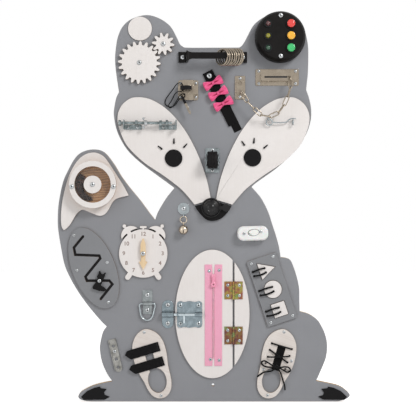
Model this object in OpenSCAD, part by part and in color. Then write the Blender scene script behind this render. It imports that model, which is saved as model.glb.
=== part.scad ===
// Wall-hung activity board in the outline of a sitting animal, with locks, wheels, gears and fabric
// stations fixed on its front. X runs to the right, Z up, and the front of the board faces -Y. The
// origin is the centre of the lower wall hole, on the back face of the board.

/* [Board and plates] */
// Overall width of the board
board_w = 560; // [530:1:620]
// Overall height of the board
board_h = 744; // [710:1:820]
// Thickness of the plywood board
board_t = 12; // [10:0.5:18]
// Diameter of the wall-fixing hole
wall_hole_d = 5.5; // [4:0.1:8]
// Thickness of the painted plates that are fixed on the board
plate_t = 4; // [3:0.5:5]
// Running gap between a moving piece and the face behind it
gap = 0.4; // [0.3:0.05:0.6]
// Radial clearance of a piece that turns on a pin or screw
run_fit = 0.08; // [0.04:0.01:0.1]
// Head radius of the large screws
screw_r = 4.4; // [3.8:0.1:5]

/* [Face] */
// Radius of the eye discs
eye_r = 16.8; // [14:0.1:19]
// Radius of the round badge on the left ear
badge_r = 22.9; // [18:0.1:25]

/* [Gears] */
// Teeth of the small gear; the large gear has twice as many
small_teeth = 10; // [8:1:12]
// Distance between the two gear centres
gear_distance = 58; // [54:0.5:62]
// Thickness of the gears
gear_t = 6; // [4:0.5:9]
// Radius of the screws that moving pieces turn on
pivot_r = 2.5; // [2:0.1:3]

/* [Handle and rings] */
// Distance between the two screws of the pull handle
handle_cc = 115; // [105:1:125]
// Height of the grip bar
grip_h = 11.7; // [9:0.1:12.5]
// Thickness of the grip bar, away from the board
grip_t = 8; // [6:0.5:8.5]
// Distance from the board to the back of the grip bar
handle_reach = 24; // [22:0.5:32]
// Outer diameter of the split rings on the handle
ring_d = 33; // [32:0.5:38]
// Number of rings
ring_count = 8; // [3:1:8]

/* [Light box] */
// Radius of the light box at the board
light_r = 48.5; // [46:0.5:50]
// Depth of the light box
light_depth = 26; // [22:0.5:32]
// Radius of a push-button cap
button_r = 7.5; // [6:0.1:8.5]
// Travel of a push-button
button_travel = 2.5; // [1.5:0.1:3]

/* [Lock and keys] */
// Side of the square lock case
lock_w = 38.5; // [36:0.5:42]
// Height of the lock case off the board
lock_h = 9; // [8:0.5:12]
// Radius of the turning lock cylinder
core_r = 6.5; // [5.5:0.1:7]

/* [Strap and bows] */
// Width of the upper webbing strap
strap_w = 20.6; // [18:0.1:24]
// Length of the upper strap below its screw
strap_len = 104; // [100:1:110]
// Width of a bow across both wings
bow_w = 39; // [34:0.5:44]

/* [Door chain] */
// Length of the chain track plate
track_w = 83.2; // [78:0.2:86]
// Height of the chain track plate
track_h = 31.6; // [30:0.2:34]
// Distance of the hanging chain from the board
chain_lift = 22; // [21:0.5:24]

/* [Threaded rod and hook] */
// Diameter of the threaded rod
rod_d = 6; // [5:0.1:7]
// Length of the threaded rod
rod_len = 101; // [98:1:106]
// Height of the rod off its plate
rod_lift = 12; // [11.5:0.5:16]
// Distance from the hook's ring to its far eye
hook_len = 47; // [44:0.5:50]

/* [Caster] */
// Diameter of the caster wheel
caster_d = 32.4; // [28:0.2:34]
// Width of the caster wheel
caster_w = 19; // [16:0.5:20]

/* [Bicycle bell] */
// Radius of the bell base
bell_base_r = 19; // [18:0.5:22]
// Radius of the bell dome
bell_r = 15.4; // [14:0.1:17]

/* [Spinner] */
// Outer radius of the seed spinner
spinner_r = 45; // [42:0.5:48]
// Depth of the spinner body
spinner_depth = 19; // [15:0.5:24]

/* [Maze] */
// Half length of the oval maze plate
maze_a = 82; // [79:0.5:86]
// Half width of the oval maze plate
maze_b = 41; // [40:0.5:44]
// Width of the maze groove
groove_w = 5; // [4.8:0.1:6]

/* [Clock] */
// Radius of the clock dial
dial_r = 46.4; // [44:0.2:48]

/* [Small bell and lashing ring] */
// Radius of the jingle bell
jingle_r = 9.2; // [8:0.1:10]
// Width of the lashing plate
lash_w = 19.6; // [18:0.2:22]

/* [Belly door] */
// Half width of the oval belly
belly_a = 71.2; // [70:0.2:74]
// Half height of the oval belly
belly_b = 123.1; // [118:0.5:127]
// Gap between the door and the fixed strip
door_gap = 3.7; // [2.5:0.1:5]
// Length of a hinge along its pin
hinge_len = 34; // [30:0.5:38]

/* [Bolt] */
// Diameter of the sliding bolt
bolt_d = 5.5; // [5:0.1:6]
// Width of the bolt plate on the door
bolt_plate_w = 48.3; // [46:0.1:50]
// Height of the bolt plate and keeper
bolt_plate_h = 51; // [48:0.5:55]
// Width of the keeper on the board
keeper_w = 22; // [18:0.2:24]

/* [Zip] */
// Width of the zip tapes together
zip_w = 33.6; // [30:0.2:36]
// Length of the zip
zip_len = 194; // [185:1:198]

/* [Switch] */
// Length of the rocker switch body
switch_w = 59; // [54:0.5:62]
// Height of the rocker switch body
switch_h = 27.8; // [26:0.2:30]
// Depth of the rocker switch body
switch_depth = 16; // [13:0.5:20]

/* [Shapes] */
// Width of the shape plate
shape_plate_w = 59.4; // [57:0.2:64]
// Height of the shape plate
shape_plate_h = 132; // [129:0.5:138]
// Thickness of the loose shapes
shape_t = 6; // [5:0.5:8]
// Gap round a shape in its cut-out
shape_gap = 0.8; // [0.5:0.1:1.2]
// Diameter of the cords that hold the shapes
shape_cord_d = 3.5; // [3:0.1:3.8]

/* [Shoes] */
// Width of the shoe straps
shoe_strap_w = 18; // [16:0.5:19]

/* [Steel channel] */
// Width of the turning steel channel
channel_w = 15.2; // [13:0.2:17]
// Length of the channel below its screw
channel_low = 40; // [37:0.5:43]
// Length of the channel above its screw
channel_high = 24; // [22:0.5:25]

/* [Hidden] */
$fn = 48;
eye_t = 2;
web_t = 1.4;
chain_wire = 2;
hook_wire = 2.2;
bracket_w = 34;
thumb_r = 7.5;
window_r = 34.5;
hub_r = 16.9;
cat_t = 5;
minute_len = 31.3;
hour_len = 28.7;
jingle_ring_d = 14.6;
lash_wire = 3.7;
leaf_w = 17.5;
knuckle_r = 2.6;
pin_r = 1.3;
tongue_w = 15;
shoe_strap_t = 1.8;
link_w = 9;
ring_wire = 2.8;
light_wall = 2.5;
key_bow_w = 21.6;
bow_t = 7;
axle_d = 6;
lens_r = 4.5;
hand_t = 3;
lash_len = 11;
lace_d = 3;
key_cord_d = 1.9;
small_screw_r = 3;
screw_bite = 8;

// ---- layout: every place on the board is given as x, z at the board size it was drawn for
drawn_w = 560;
drawn_h = 744;
function at(x, z) = [x * board_w / drawn_w, z * board_h / drawn_h];
function all_at(list) = [for (p = list) at(p[0], p[1])];
function unit(v) = v / norm(v);
function polar(r, a) = [r * cos(a), r * sin(a)];

// smooth curves through hand-chosen points: bend() is one span, run() an open stretch without its
// last point, loop() a closed outline
function bend(a, b, c, d, t) =
    0.5 * (2 * b + (c - a) * t + (2 * a - 5 * b + 4 * c - d) * t * t + (3 * b - a - 3 * c + d) * t * t * t);
function run(p, n = 4) = [for (i = [0 : len(p) - 2]) for (k = [0 : n - 1])
    bend(p[max(i - 1, 0)], p[i], p[i + 1], p[min(i + 2, len(p) - 1)], k / n)];
function loop(p, n = 4) = [for (i = [0 : len(p) - 1]) for (k = [0 : n - 1])
    bend(p[(i + len(p) - 1) % len(p)], p[i], p[(i + 1) % len(p)], p[(i + 2) % len(p)], k / n)];
function mirrored(p, x0) = [for (q = p) [2 * x0 - q[0], q[1]]];

// local frame of a station: x right, y up, z out of the board, with 0 on the board's face
module stand(place, turn = 0) {
    translate([place[0], -board_t, place[1]]) rotate([90, 0, 0]) rotate([0, 0, turn]) children();
}
// a flat plate cut from an outline in board coordinates, its back at a distance off the board
module sheet(lift, t) {
    translate([0, -board_t - lift, 0]) rotate([90, 0, 0]) linear_extrude(t) children();
}
// a flat plate in a station's local frame
module slab(lift, t) translate([0, 0, lift]) linear_extrude(t) children();
module rod(lift, h, r) translate([0, 0, lift]) cylinder(r = r, h = h);
module pill(w, h, r) {
    for (s = [-1, 1]) {
        square([w - (s + 1) * r, h - (1 - s) * r], center = true);
        for (u = [-1, 1]) translate([s * (w / 2 - r), u * (h / 2 - r)]) circle(r);
    }
}
module oval(a, b, n = 72) polygon([for (i = [0 : n - 1]) [a * cos(360 * i / n), b * sin(360 * i / n)]]);
module torus(r, wire, turn = 360) rotate_extrude(angle = turn) translate([r, 0]) circle(r = wire / 2, $fn = 16);
// a round tube through points, swept with a frame that is carried along without twist
function tangent(p, i) = unit(p[min(i + 1, len(p) - 1)] - p[max(i - 1, 0)]);
function carry(p, i, n) = i == len(p) ? [] :
    let (t = tangent(p, i), m = unit(n - (n * t) * t)) concat([m], carry(p, i + 1, m));
module tube(p, d, sides = 8) {
    side = carry(p, 0, unit([0.31, 0.22, 0.92]));
    points = [for (i = [0 : len(p) - 1]) for (j = [0 : sides - 1])
        p[i] + d / 2 * (cos(360 * j / sides) * side[i] + sin(360 * j / sides) * cross(tangent(p, i), side[i]))];
    last = (len(p) - 1) * sides;
    polyhedron(points, concat([[for (j = [0 : sides - 1]) j]], [[for (j = [sides - 1 : -1 : 0]) last + j]],
        [for (i = [0 : len(p) - 2]) for (j = [0 : sides - 1]) let (k = (j + 1) % sides)
            [i * sides + j, (i + 1) * sides + j, (i + 1) * sides + k, i * sides + k]]));
}
// a closed flat loop of round wire, given in its own XY plane
module wire_loop(p, d, sides = 8) {
    n = len(p);
    out = [for (i = [0 : n - 1]) let (t = unit(p[(i + 1) % n] - p[(i + n - 1) % n])) [t[1], -t[0]]];
    points = [for (i = [0 : n - 1]) for (j = [0 : sides - 1]) let (a = 360 * j / sides)
        [p[i][0] + d / 2 * cos(a) * out[i][0], p[i][1] + d / 2 * cos(a) * out[i][1], d / 2 * sin(a)]];
    polyhedron(points, [for (i = [0 : n - 1]) for (j = [0 : sides - 1]) let (k = (j + 1) % sides, m = (i + 1) % n)
        [i * sides + j, i * sides + k, m * sides + k, m * sides + j]]);
}
function curve(p, n) = concat(run(p, n), [p[len(p) - 1]]);
// a point given as x, z and its distance off the board
function point(x, z, lift) = let (q = at(x, z)) [q[0], -board_t - lift, q[1]];

// ---- screws: each entry is [place, distance of its seat off the board, head radius]
screw_shank = 0.46;
hole_slack = 0.25;
seam = 0.04;
pilot_slack = 0.1;
function shank(head_r) = screw_shank * head_r;
function around(centre, turn, list) = [for (p = list)
    [centre[0] + p[0] * cos(turn) - p[1] * sin(turn), centre[1] + p[0] * sin(turn) + p[1] * cos(turn)]];
function set(places, seat, head_r) = [for (p = places) [p, seat, head_r]];
function corners(x, y) = [for (s = [-1, 1]) for (u = [-1, 1]) [s * x, u * y]];
module screw_head(r) rotate_extrude(convexity = 2)
    polygon([[0, 0], [r, 0], [r, r * 0.12], [r * 0.93, r * 0.24], [r * 0.7, r * 0.42], [0, r * 0.55]]);
module one_screw(place, seat, head_r, shank_r) stand(place) {
    translate([0, 0, seat]) screw_head(head_r);
    rod(-screw_bite, screw_bite + seat + 0.1, shank_r);
}
module screw_set(list) for (s = list) one_screw(s[0], s[1], s[2], shank(s[2]));
module screw_holes(list, slack = hole_slack) {
    for (s = list) stand(s[0]) rod(-1, s[1] + 3, shank(s[2]) + slack);
}
module pilot_holes(list) for (s = list) stand(s[0])
    rod(-screw_bite - 0.5, screw_bite + 1, shank(s[2]) + pilot_slack, $fn = 16);

// ---- board outline, from the left paw round by the tail, ears and right side
paw_left = [[-259, -22], [-253, -13], [-232, -2], [-210, 4], [-193, 7]];
thigh_left = [[-193, 7], [-203, 21], [-213, 44], [-217, 67], [-216, 82], [-211, 102], [-204, 112]];
tail = [[-204, 112], [-217, 125], [-245, 159], [-268, 194], [-284, 228], [-291.5, 263], [-297, 297],
    [-298, 320], [-296, 350], [-288, 389], [-278, 412], [-265, 435], [-251, 447], [-230, 452],
    [-209, 447], [-190, 424], [-176, 401], [-159, 378], [-140, 355], [-123, 332], [-111, 316.5]];
shoulder_left = [[-111, 316.5], [-105.5, 332], [-92, 355], [-84, 366], [-74, 378]];
cheek_left = [[-74, 378], [-105.5, 401], [-136, 424], [-161, 447], [-176.5, 470], [-186, 493],
    [-190, 515], [-190, 528], [-186, 550], [-180.5, 562]];
ear_left = [[-180.5, 562], [-184, 585], [-187, 608], [-188, 628], [-186, 650], [-182, 670],
    [-172.5, 689], [-155, 703], [-127, 710], [-102, 703], [-82, 688.5], [-70, 668], [-64, 655],
    [-58, 649.5], [-49, 647.3], [0, 647.3], [42, 647.5], [52, 648.5], [59, 656], [66, 669],
    [76.5, 688.5], [88.5, 700], [105, 709], [128, 712.2], [148, 709], [163, 700], [173, 688],
    [179, 670], [182.5, 650], [183, 625], [182, 596], [180, 578], [179, 566]];
cheek_right = [[179, 566], [184.5, 550], [188, 533], [188.5, 516], [186, 501], [179, 481.5],
    [165, 458.5], [144, 435.5], [117.5, 412.5], [85, 389.5], [74, 380]];
shoulder_right = [[74, 380], [86.5, 366], [94.5, 355], [106, 332], [113.5, 309], [121, 286],
    [127, 263], [129.7, 245]];
arm_right = [[129.7, 245], [139, 244], [148, 240], [154, 228], [161.5, 205], [165.5, 184],
    [165.8, 165], [166.3, 141]];
thigh_right = [[166.3, 141], [184, 136], [200, 125], [208, 113], [213.5, 101.5], [218, 86],
    [219, 70], [217, 54], [213, 42], [204, 21], [198, 8]];
paw_right = [[198, 8], [220, 3.5], [242, -2], [256, -11], [262, -18], [261, -23], [253, -28], [240, -31.8]];
paw_edge = [[-232, -31.8], [-246, -30.5], [-256, -27], [-259, -22]];
board_outline = all_at(concat(run(paw_left), run(thigh_left), run(tail), run(shoulder_left),
    run(cheek_left), run(ear_left), run(cheek_right), run(shoulder_right), run(arm_right),
    run(thigh_right), run(paw_right), [[240, -31.8]], run(paw_edge)));

// ---- white and black overlays
face_axis = 0.9;
cheek_points = concat(
    run([[-35.3, 346], [-57.4, 372], [-76.5, 388], [-98.5, 404], [-128, 423.5], [-150, 442.6],
        [-167.5, 463], [-179, 489.6], [-183, 508.7], [-180.7, 525], [-172, 539.5], [-157.3, 549.8],
        [-142.6, 551.8], [-128, 550], [-113, 544.6], [-91, 530.7], [-69, 508.7], [-47, 477.8],
        [-26.6, 436.7], [-12, 394], [-4.6, 360], [-2.6, 355.4]]), [[-2.6, 355.4], [-18.8, 350.9]]);
tail_tip_points = concat(
    run([[-161.5, 363.5], [-171, 361.3], [-184, 357.6], [-193, 349.5], [-200, 336.3], [-208, 327],
        [-218, 324.6], [-232.6, 329.7], [-243, 334.1], [-252, 335.6], [-262, 327], [-275, 306], [-285.4, 296.7]]),
    run([[-285.4, 296.7], [-290.3, 305.5], [-291, 330], [-287, 361], [-276.6, 399.5], [-262, 427],
        [-246, 441.5], [-228, 446], [-213, 441], [-203, 431], [-187, 406.8], [-171, 381.8], [-161.5, 363.5]]));
nose_points = concat(
    run([[-34.5, 343.4], [-16, 348.2], [-5, 351.8], [0.5, 352.8], [6, 351.8], [17, 348.2], [35.5, 343.4]]),
    run([[35.5, 343.4], [29.8, 333.3], [16.6, 320.1], [1.2, 314.8], [-14.2, 318], [-29.6, 334.6], [-34.5, 343.4]]));
paw_points = [[-253, -22.5], [-241.5, -11.5], [-228, -5.5], [-217.5, -3], [-215, -6.2], [-204, -7.5],
    [-209, -14.7], [-207.3, -19], [-198, -22.4], [-207.5, -27.8], [-248, -28.4]];
paw_axis = 1.9;
eye_left_at = at(-75.4, 434.8);
eye_right_at = at(75.6, 435.8);
lashes_left = [47, 89, 142];
lashes_right = [40, 85, 123];
lash_start = 27.5;
badge_at = at(-140.1, 683.4);
badge_t = 2;

// ---- belly, door and its fittings
belly_at = at(-1.2, 136.6);
hinge_x = belly_at[0] + 40.5;
hinge_z = [181.8, 95.5];
hinge_places = [for (z = hinge_z) [hinge_x, at(0, z)[1]]];
leaf_t = 1.2;
pin_lift = plate_t + knuckle_r + 0.1;
leaf_screw_x = 11;
leaf_screw_z = 10;
leaf_holes = [for (s = [-1, 1]) [leaf_screw_x, s * leaf_screw_z]];
leaf_seat = plate_t + leaf_t;
strip_screws = set([for (h = hinge_places) each around(h, 0, leaf_holes)], leaf_seat, small_screw_r);
door_leaf_screws = set([for (h = hinge_places) each around(h, 180, leaf_holes)], leaf_seat, small_screw_r);
bolt_z = belly_at[1] - 0.8;
bolt_plate_x = belly_at[0] - 67.8;
keeper_x = bolt_plate_x - 6.6 - keeper_w;
bolt_t = 1.5;
bolt_lift = plate_t + bolt_t + bolt_d / 2 + 0.5;
bolt_clear = 0.3;
bolt_screw_x = 7;
bolt_screw_z = bolt_plate_h / 2 - 8;
bolt_screws = set([for (x = [bolt_screw_x, bolt_plate_w - bolt_screw_x]) for (s = [-1, 1])
    [bolt_plate_x + x, bolt_z + s * bolt_screw_z]], plate_t + bolt_t, screw_r);
keeper_screws = set([for (s = [-1, 1]) [keeper_x + keeper_w / 2, bolt_z + s * bolt_screw_z]], bolt_t, screw_r);
bolt_tip_gap = 0.5;
bolt_tip_x = keeper_x + keeper_w + bolt_tip_gap;
bolt_in = 9;
bolt_back = 18;
bolt_handle_x = bolt_tip_x + 20;
bolt_handle_w = 3.4;
zip_at = belly_at + [2, -2.4];
zip_t = 1.4;
zip_screws = set([for (p = [[-8.2, 84.8], [11, 86.2], [-5.6, -84.5], [11, -86]]) zip_at + p],
    plate_t + zip_t, small_screw_r);
zip_slider_z = 72;
door_screws = concat(door_leaf_screws, bolt_screws, zip_screws);

// ---- gears
gear_large_at = at(-141, 617.8);
gear_line = 38;
gear_module = 2 * gear_distance / (3 * small_teeth);
gear_small_at = gear_large_at + polar(gear_distance, gear_line);
gear_large_phase = 87;
gear_small_phase = gear_line + 180 - 2 * (gear_large_phase - gear_line) + 180 / small_teeth;
gear_top = gap + gear_t;
gear_screws = set([gear_large_at, gear_small_at], gear_top + gap, screw_r);

// ---- handle and rings
handle_at = at(-0.5, 628);
foot_w = 16.5;
foot_h = 20.8;
foot_t = 5;
handle_screws = set([for (s = [-1, 1]) handle_at + [s * handle_cc / 2, 0]], foot_t, screw_r);
ring_tilt = 45;
ring_pitch = 4.2;
ring_first = 14.6;
ring_lean = 4;
ring_inner = ring_d / 2 - ring_wire;
ring_seat = 0.3;
// each tilted ring hangs on the upper back corner of the grip bar and leans out to the right
ring_drop = sqrt(pow(ring_inner - ring_seat, 2) - pow(grip_t / 2 / sin(ring_tilt) + ring_lean, 2)) - grip_h / 2;

// ---- light box
light_at = at(128.3, 666);
light_face_r = light_r - 5;
light_face_t = 3;
light_rows = [23, 0, -23];
lamp_x = -24;
button_x = 19.5;
light_screw_z = 38.4;
boss_r = 4.6;
light_screws = set([for (s = [-1, 1]) light_at + [0, s * light_screw_z]], light_depth, screw_r);
bezel_r = 10.5;
bezel_t = 1.8;
button_slack = 0.3;
battery_t = 8;
circuit_t = 1.6;
button_flange_t = 1.5;

// ---- lock, keys and cord
lock_at = at(-47.4, 565.2);
lock_base_t = 2;
lock_screw_x = 14.4;
lock_screw_z = 13;
lock_screws = set(around(lock_at, 0, corners(lock_screw_x, lock_screw_z)), lock_base_t, small_screw_r);
core_at = lock_at + [-3.8, 2];
collar_r = core_r + 3.6;
core_back = 2;
key_out = 5;
key_bow_h = 17;
key_bow_t = 7;
key_blade_w = 7.5;
key_blade_t = 2;
cord_route = [point(-57.4, 567.6, 25), point(-57.4, 572.5, 24.6), point(-60, 575.8, 22.5), point(-64.5, 577.2, 18.5),
    point(-69.5, 575, 13.6), point(-76, 567, 8), point(-85, 555.5, 4.2), point(-91, 546, 2.5),
    point(-91.2, 538.5, 2.2), point(-86, 534.2, 2.2), point(-79, 533.4, 2.4), point(-72.4, 537.2, 3.6),
    point(-67.2, 543.6, 8), point(-62.8, 547.7, 13), point(-58.2, 550, 13.9), point(-54.2, 551.9, 13.8),
    point(-54, 555, 13.6), point(-57.8, 556.8, 13.4), point(-62.8, 554.4, 12.6), point(-68, 547, 10),
    point(-73, 539, 7.4), point(-78, 533.2, 5.8), point(-83.4, 531.8, 5.6), point(-84.6, 536.4, 6),
    point(-80, 543.5, 7.5), point(-76, 551, 10.5), point(-71.6, 557.6, 16.5), point(-65.6, 560.6, 21.5),
    point(-60.4, 560.6, 24.4), point(-57.6, 562.8, 25.1), point(-57.4, 567.2, 25)];
spare_at = at(-58.2, 550);
spare_turn = 26;
spare_lift = lock_h + 4.8;
spare_head_len = 15.5;
spare_head_w = 4.6;
spare_head_depth = 9;
spare_blade_len = 23;

// ---- strap and bows
strap_at = at(-6.9, 592.6);
strap_turn = 26.5;
strap_top = 9;
lower_strap_w = 15.6;
lower_strap_len = 119;
strap_seat = 2 * web_t;
strap_screws = set([strap_at], strap_seat, 5.3);
bow_first = 15.7;
bow_pitch = 22;

// ---- door chain
track_at = at(123, 590);
track_t = 1.5;
track_screw_x = 35;
track_screw_z = 11.8;
track_screws = set(around(track_at, 0, corners(track_screw_x, track_screw_z)), track_t, small_screw_r);
channel_h = 15;
channel_out = 8;
slot_len = 50;
slot_h = 3.4;
slider_x = 23.5;
anchor_at = at(51.8, 570.3);
anchor_w = 20;
anchor_h = 45;
anchor_screw_z = 17.5;
anchor_screws = set([for (s = [-1, 1]) anchor_at + [0, s * anchor_screw_z]], track_t, small_screw_r);
eye_ring_r = 3.6;
link_slack = 0.6;
chain_start = anchor_at + [3.5, -14];
chain_end = track_at + [slider_x + 1, -7.5];
eye_reach = eye_ring_r - (chain_wire + link_slack) / 2;
first_link = [10, -15];
chain_joints = [for (p = [[0, 0], first_link, [22.5, -27.9], [35.5, -40.3], [52.4, -43.2], [68.6, -36], [79.2, -21.6],
    [86.6, -5.3], [91.5, 12]]) chain_start + p];
chain_nodes = concat(chain_joints, [chain_end]);

// ---- threaded rod with its two brackets
rod_at = at(-128.6, 501.4);
bracket_h = 9;
bracket_t = 1.8;
bracket_drop = 4.4;
bracket_left_x = -42;
bracket_right_x = 25.3;
bracket_screws = set(concat(
    [for (s = [-1, 1]) rod_at + [bracket_left_x + bracket_w / 2 + s * 9, -bracket_drop - bracket_h / 2 + 1.5]],
    [for (s = [-1, 1]) rod_at + [bracket_right_x + bracket_w / 2 + s * 9, -bracket_drop - bracket_h / 2 + 1.5]]),
    plate_t + bracket_t, 2.7);
nut_r = 5.6;
nut_t = 5;
nut_places = [-49, -17.5, 29, 41];
wing_x = 0.6;

// ---- gate hook and its eyes
hook_at = at(107.4, 503.4);
hook_ring_r = 5.9;
eye_loop_r = 4.7;
hook_lift = plate_t + eye_loop_r + hook_wire / 2 + 0.2;
near_eye = hook_at + [-1.2, hook_ring_r + 2.1];
far_eye = hook_at + [hook_len - 1.8, -0.4];
hook_step = eye_loop_r + hook_wire + 0.3 - 0.4;

// ---- caster
caster_at = at(-1.2, 430.7);
caster_base_w = 27.4;
caster_base_h = 48;
caster_t = 1.6;
caster_lift = caster_d / 2 + caster_t + 2.5;
caster_screws = set([for (s = [-1, 1]) caster_at + [0, s * 20]], caster_t, small_screw_r);

// ---- bicycle bell
bell_at = at(-3.6, 339.9);
bell_base_t = 4;
lever_t = 2.6;
lever_reach = 28.5;
bell_post_r = 3;

// ---- spinner
spinner_at = at(-228.6, 384.1);
spinner_floor = 3;
spinner_front = 4;
spinner_screws = set([spinner_at], plate_t + gap + spinner_depth + gap, screw_r);
ear_angles = [-6, 186];
ear_screw_r = 39.8;
window_t = 2;

// ---- maze
maze_at = at(-228.6, 224.5);
maze_turn = 22;
maze_path = all_at([[-249, 285], [-266.4, 263.6], [-263.8, 250], [-217.9, 248.2], [-216, 243], [-244.3, 208],
    [-241.4, 200.2], [-198.8, 200.5], [-192.8, 193.5], [-215, 165.3]]);
cat_at = at(-217.1, 200.4);
cat_rider_r = groove_w / 2 - 0.6;
maze_screws = set(all_at([[-266.1, 287.1], [-202.8, 235], [-260.5, 220.2], [-200.8, 159]]), plate_t, small_screw_r);
cat_points = [[-0.6, 18.3], [0.3, 19], [2.2, 16], [3.3, 13.7], [6.6, 12.5], [8.9, 14.1], [11.9, 15.8],
    [10.8, 11.4], [8.9, 5.8], [7.5, 2.1], [5.7, 0.2], [4.7, -3.5], [3.1, -9], [7, -11.4], [10.8, -14.6],
    [13.1, -18.1], [7, -20.4], [2.9, -19], [-0.4, -19.5], [-5.9, -17.2], [-12.5, -15.1], [-12.3, -10],
    [-9.7, -6.3], [-6.9, -2.6], [-5.4, 1.2], [-3.4, 4.4], [-4.8, 8.1], [-2.7, 11.4], [-1.3, 14.2]];

// ---- clock
clock_at = at(-133.6, 252.4);
clock_bell_r = 19;
clock_bell_out = 41.2;
clock_slot = 3;
clock_screws = set([clock_at], plate_t + 2 * (gap + hand_t) + gap, screw_r);

// ---- jingle bell and lashing ring
jingle_at = at(-56.4, 338.2);
jingle_washer_r = 11.6;
jingle_lift = jingle_r + 0.8;
jingle_eye_drop = 13.8;
jingle_ring_r = jingle_ring_d / 2 - 1;
jingle_eye_r = 3.6;
jingle_loop_r = 3.2;
// the ring hangs this far below the middle of the hanger's eye, and the bell's loop below the ring
jingle_hang = 1;
jingle_ring_z = -jingle_eye_drop - jingle_hang - jingle_ring_r;
jingle_loop_z = jingle_ring_z - jingle_ring_r - jingle_hang;
jingle_bell_z = jingle_loop_z - jingle_loop_r - jingle_r + 0.5;
jingle_screws = set([jingle_at], 1.5, screw_r);
lash_at = at(-125.8, 156.3);
lash_lift = lash_wire / 2 + 1.9;
lash_plate_t = 1.5;
lash_screws = set([lash_at + [0, 16.4], lash_at + [0, -12.6]], lash_plate_t, screw_r);

// ---- switch
switch_at = at(75.8, 291.2);
switch_screws = set([switch_at + [-16.8, -0.6], switch_at + [15.6, 3.4]], switch_depth, small_screw_r);
rocker_at = switch_at + [1.6, 1.5];
rocker_a = 10.6;
rocker_b = 5.8;

// ---- shapes
shapes_at = at(112.8, 183);
shapes_turn = 18.4;
shape_screws = set(around(shapes_at, shapes_turn, corners(shape_plate_w / 2 - 7.8, shape_plate_h / 2 - 6.6)),
    plate_t, small_screw_r);
triangle_points = [[-11.4, 56.2], [18.9, 39.9], [-11.4, 24]];
triangle_centre = [-1.3, 40];
circle_centre = [2, 0.3];
circle_r = 16.7;
square_centre = [1.7, -40.2];
square_side = 26.6;
cord_left = -24;
triangle_cords = [43.8, 35.2];
circle_cords = [5.2, -3.6];
square_cords = [-36.2, -45.2];
cord_hole_slack = 0.5;
cord_tail = 9;

// ---- shoes
shoe_points = all_at([[-126.6, 107.7], [-108, 100], [-95.7, 84.6], [-89, 62.3], [-86, 38.4], [-80, 11],
    [-80.6, -7.9], [-88.9, -21], [-101.7, -25.2], [-114.6, -21], [-124, -9.6], [-131.7, 5.8], [-142, 22.9],
    [-150.5, 43.5], [-154.8, 70.9], [-150.5, 89.7], [-140.3, 102.6]]);
shoe_axis = at(2.5, 0)[0];
heel_at = at(-106.6, 9.2);
heel_a = 17.6;
heel_b = 23.8;
heel_turn = 10;
slot_at = at(-121.5, 55.5);
slot_turn = 16.5;
slot_w = 15.6;
slot_up = 20;
slot_down = 31;
left_shoe_screws = set(all_at([[-131.7, 101.6], [-99.2, -20]]), plate_t, small_screw_r);
right_shoe_screws = set(all_at([[136, 102], [150.3, 46.6], [96.4, 30.3], [104.4, -19]]), plate_t, small_screw_r);
strap_upper_at = at(-103, 74.9);
strap_lower_at = at(-94.6, 47.2);
shoe_strap_turn = 16.7;
shoe_strap_len = 68;
eyelets_left = all_at([[112.7, 80.5], [108.7, 68], [105, 54.6], [100.7, 42.3]]);
eyelets_right = all_at([[150.9, 69.2], [146.4, 56], [142.6, 43.7], [138.3, 31.2]]);
lace_knot = at(121.6, 36.5);
lace_lift = plate_t + lace_d / 2 + 0.3;
lace_over = lace_lift + lace_d + 0.4;
function lace_point(x, z, lift) = point(x, z, plate_t + lift);
lace_bow_left = [lace_point(117, 37.5, 8), lace_point(112, 40, 9), lace_point(105, 44.5, 8.5),
    lace_point(97, 47.5, 5), lace_point(92.5, 43.5, 3), lace_point(96, 38.5, 3),
    lace_point(104, 35.8, 4.6), lace_point(112, 35.4, 5), lace_point(117, 35.6, 5)];
lace_bow_right = [lace_point(126.4, 35.5, 8), lace_point(131, 36, 9), lace_point(138, 36.6, 8.5),
    lace_point(146, 33.5, 5), lace_point(147.4, 28, 3), lace_point(142.5, 25.6, 3),
    lace_point(136, 28.6, 4.6), lace_point(130.5, 32, 5), lace_point(126.2, 33.8, 5)];
lace_end_left = [lace_point(118.4, 32.6, 5), lace_point(113.6, 29, 4), lace_point(106, 26.6, 2.4),
    lace_point(98, 25.6, 2), lace_point(91, 21.5, 2), lace_point(84.4, 16.8, 2)];
lace_end_right = [lace_point(124.6, 32.2, 5), lace_point(128.2, 26, 4), lace_point(131.2, 18, 2.4),
    lace_point(134.4, 8, 2), lace_point(137, -0.5, 2), lace_point(137.6, -9, 2)];

// ---- steel channel
channel_at = at(-188.7, 64.4);
channel_turn = 12.9;
channel_t = 1.5;
channel_flange = 3.2;
channel_screws = set([channel_at], gap + channel_t + gap, 3.4);

board_screws = concat(strip_screws, keeper_screws, gear_screws, handle_screws, light_screws, lock_screws,
    strap_screws, track_screws, anchor_screws, bracket_screws, caster_screws, spinner_screws, maze_screws,
    clock_screws, jingle_screws, lash_screws, switch_screws, shape_screws, left_shoe_screws,
    right_shoe_screws, channel_screws);
pivot_places = [gear_large_at, gear_small_at, spinner_at, clock_at];

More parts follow.
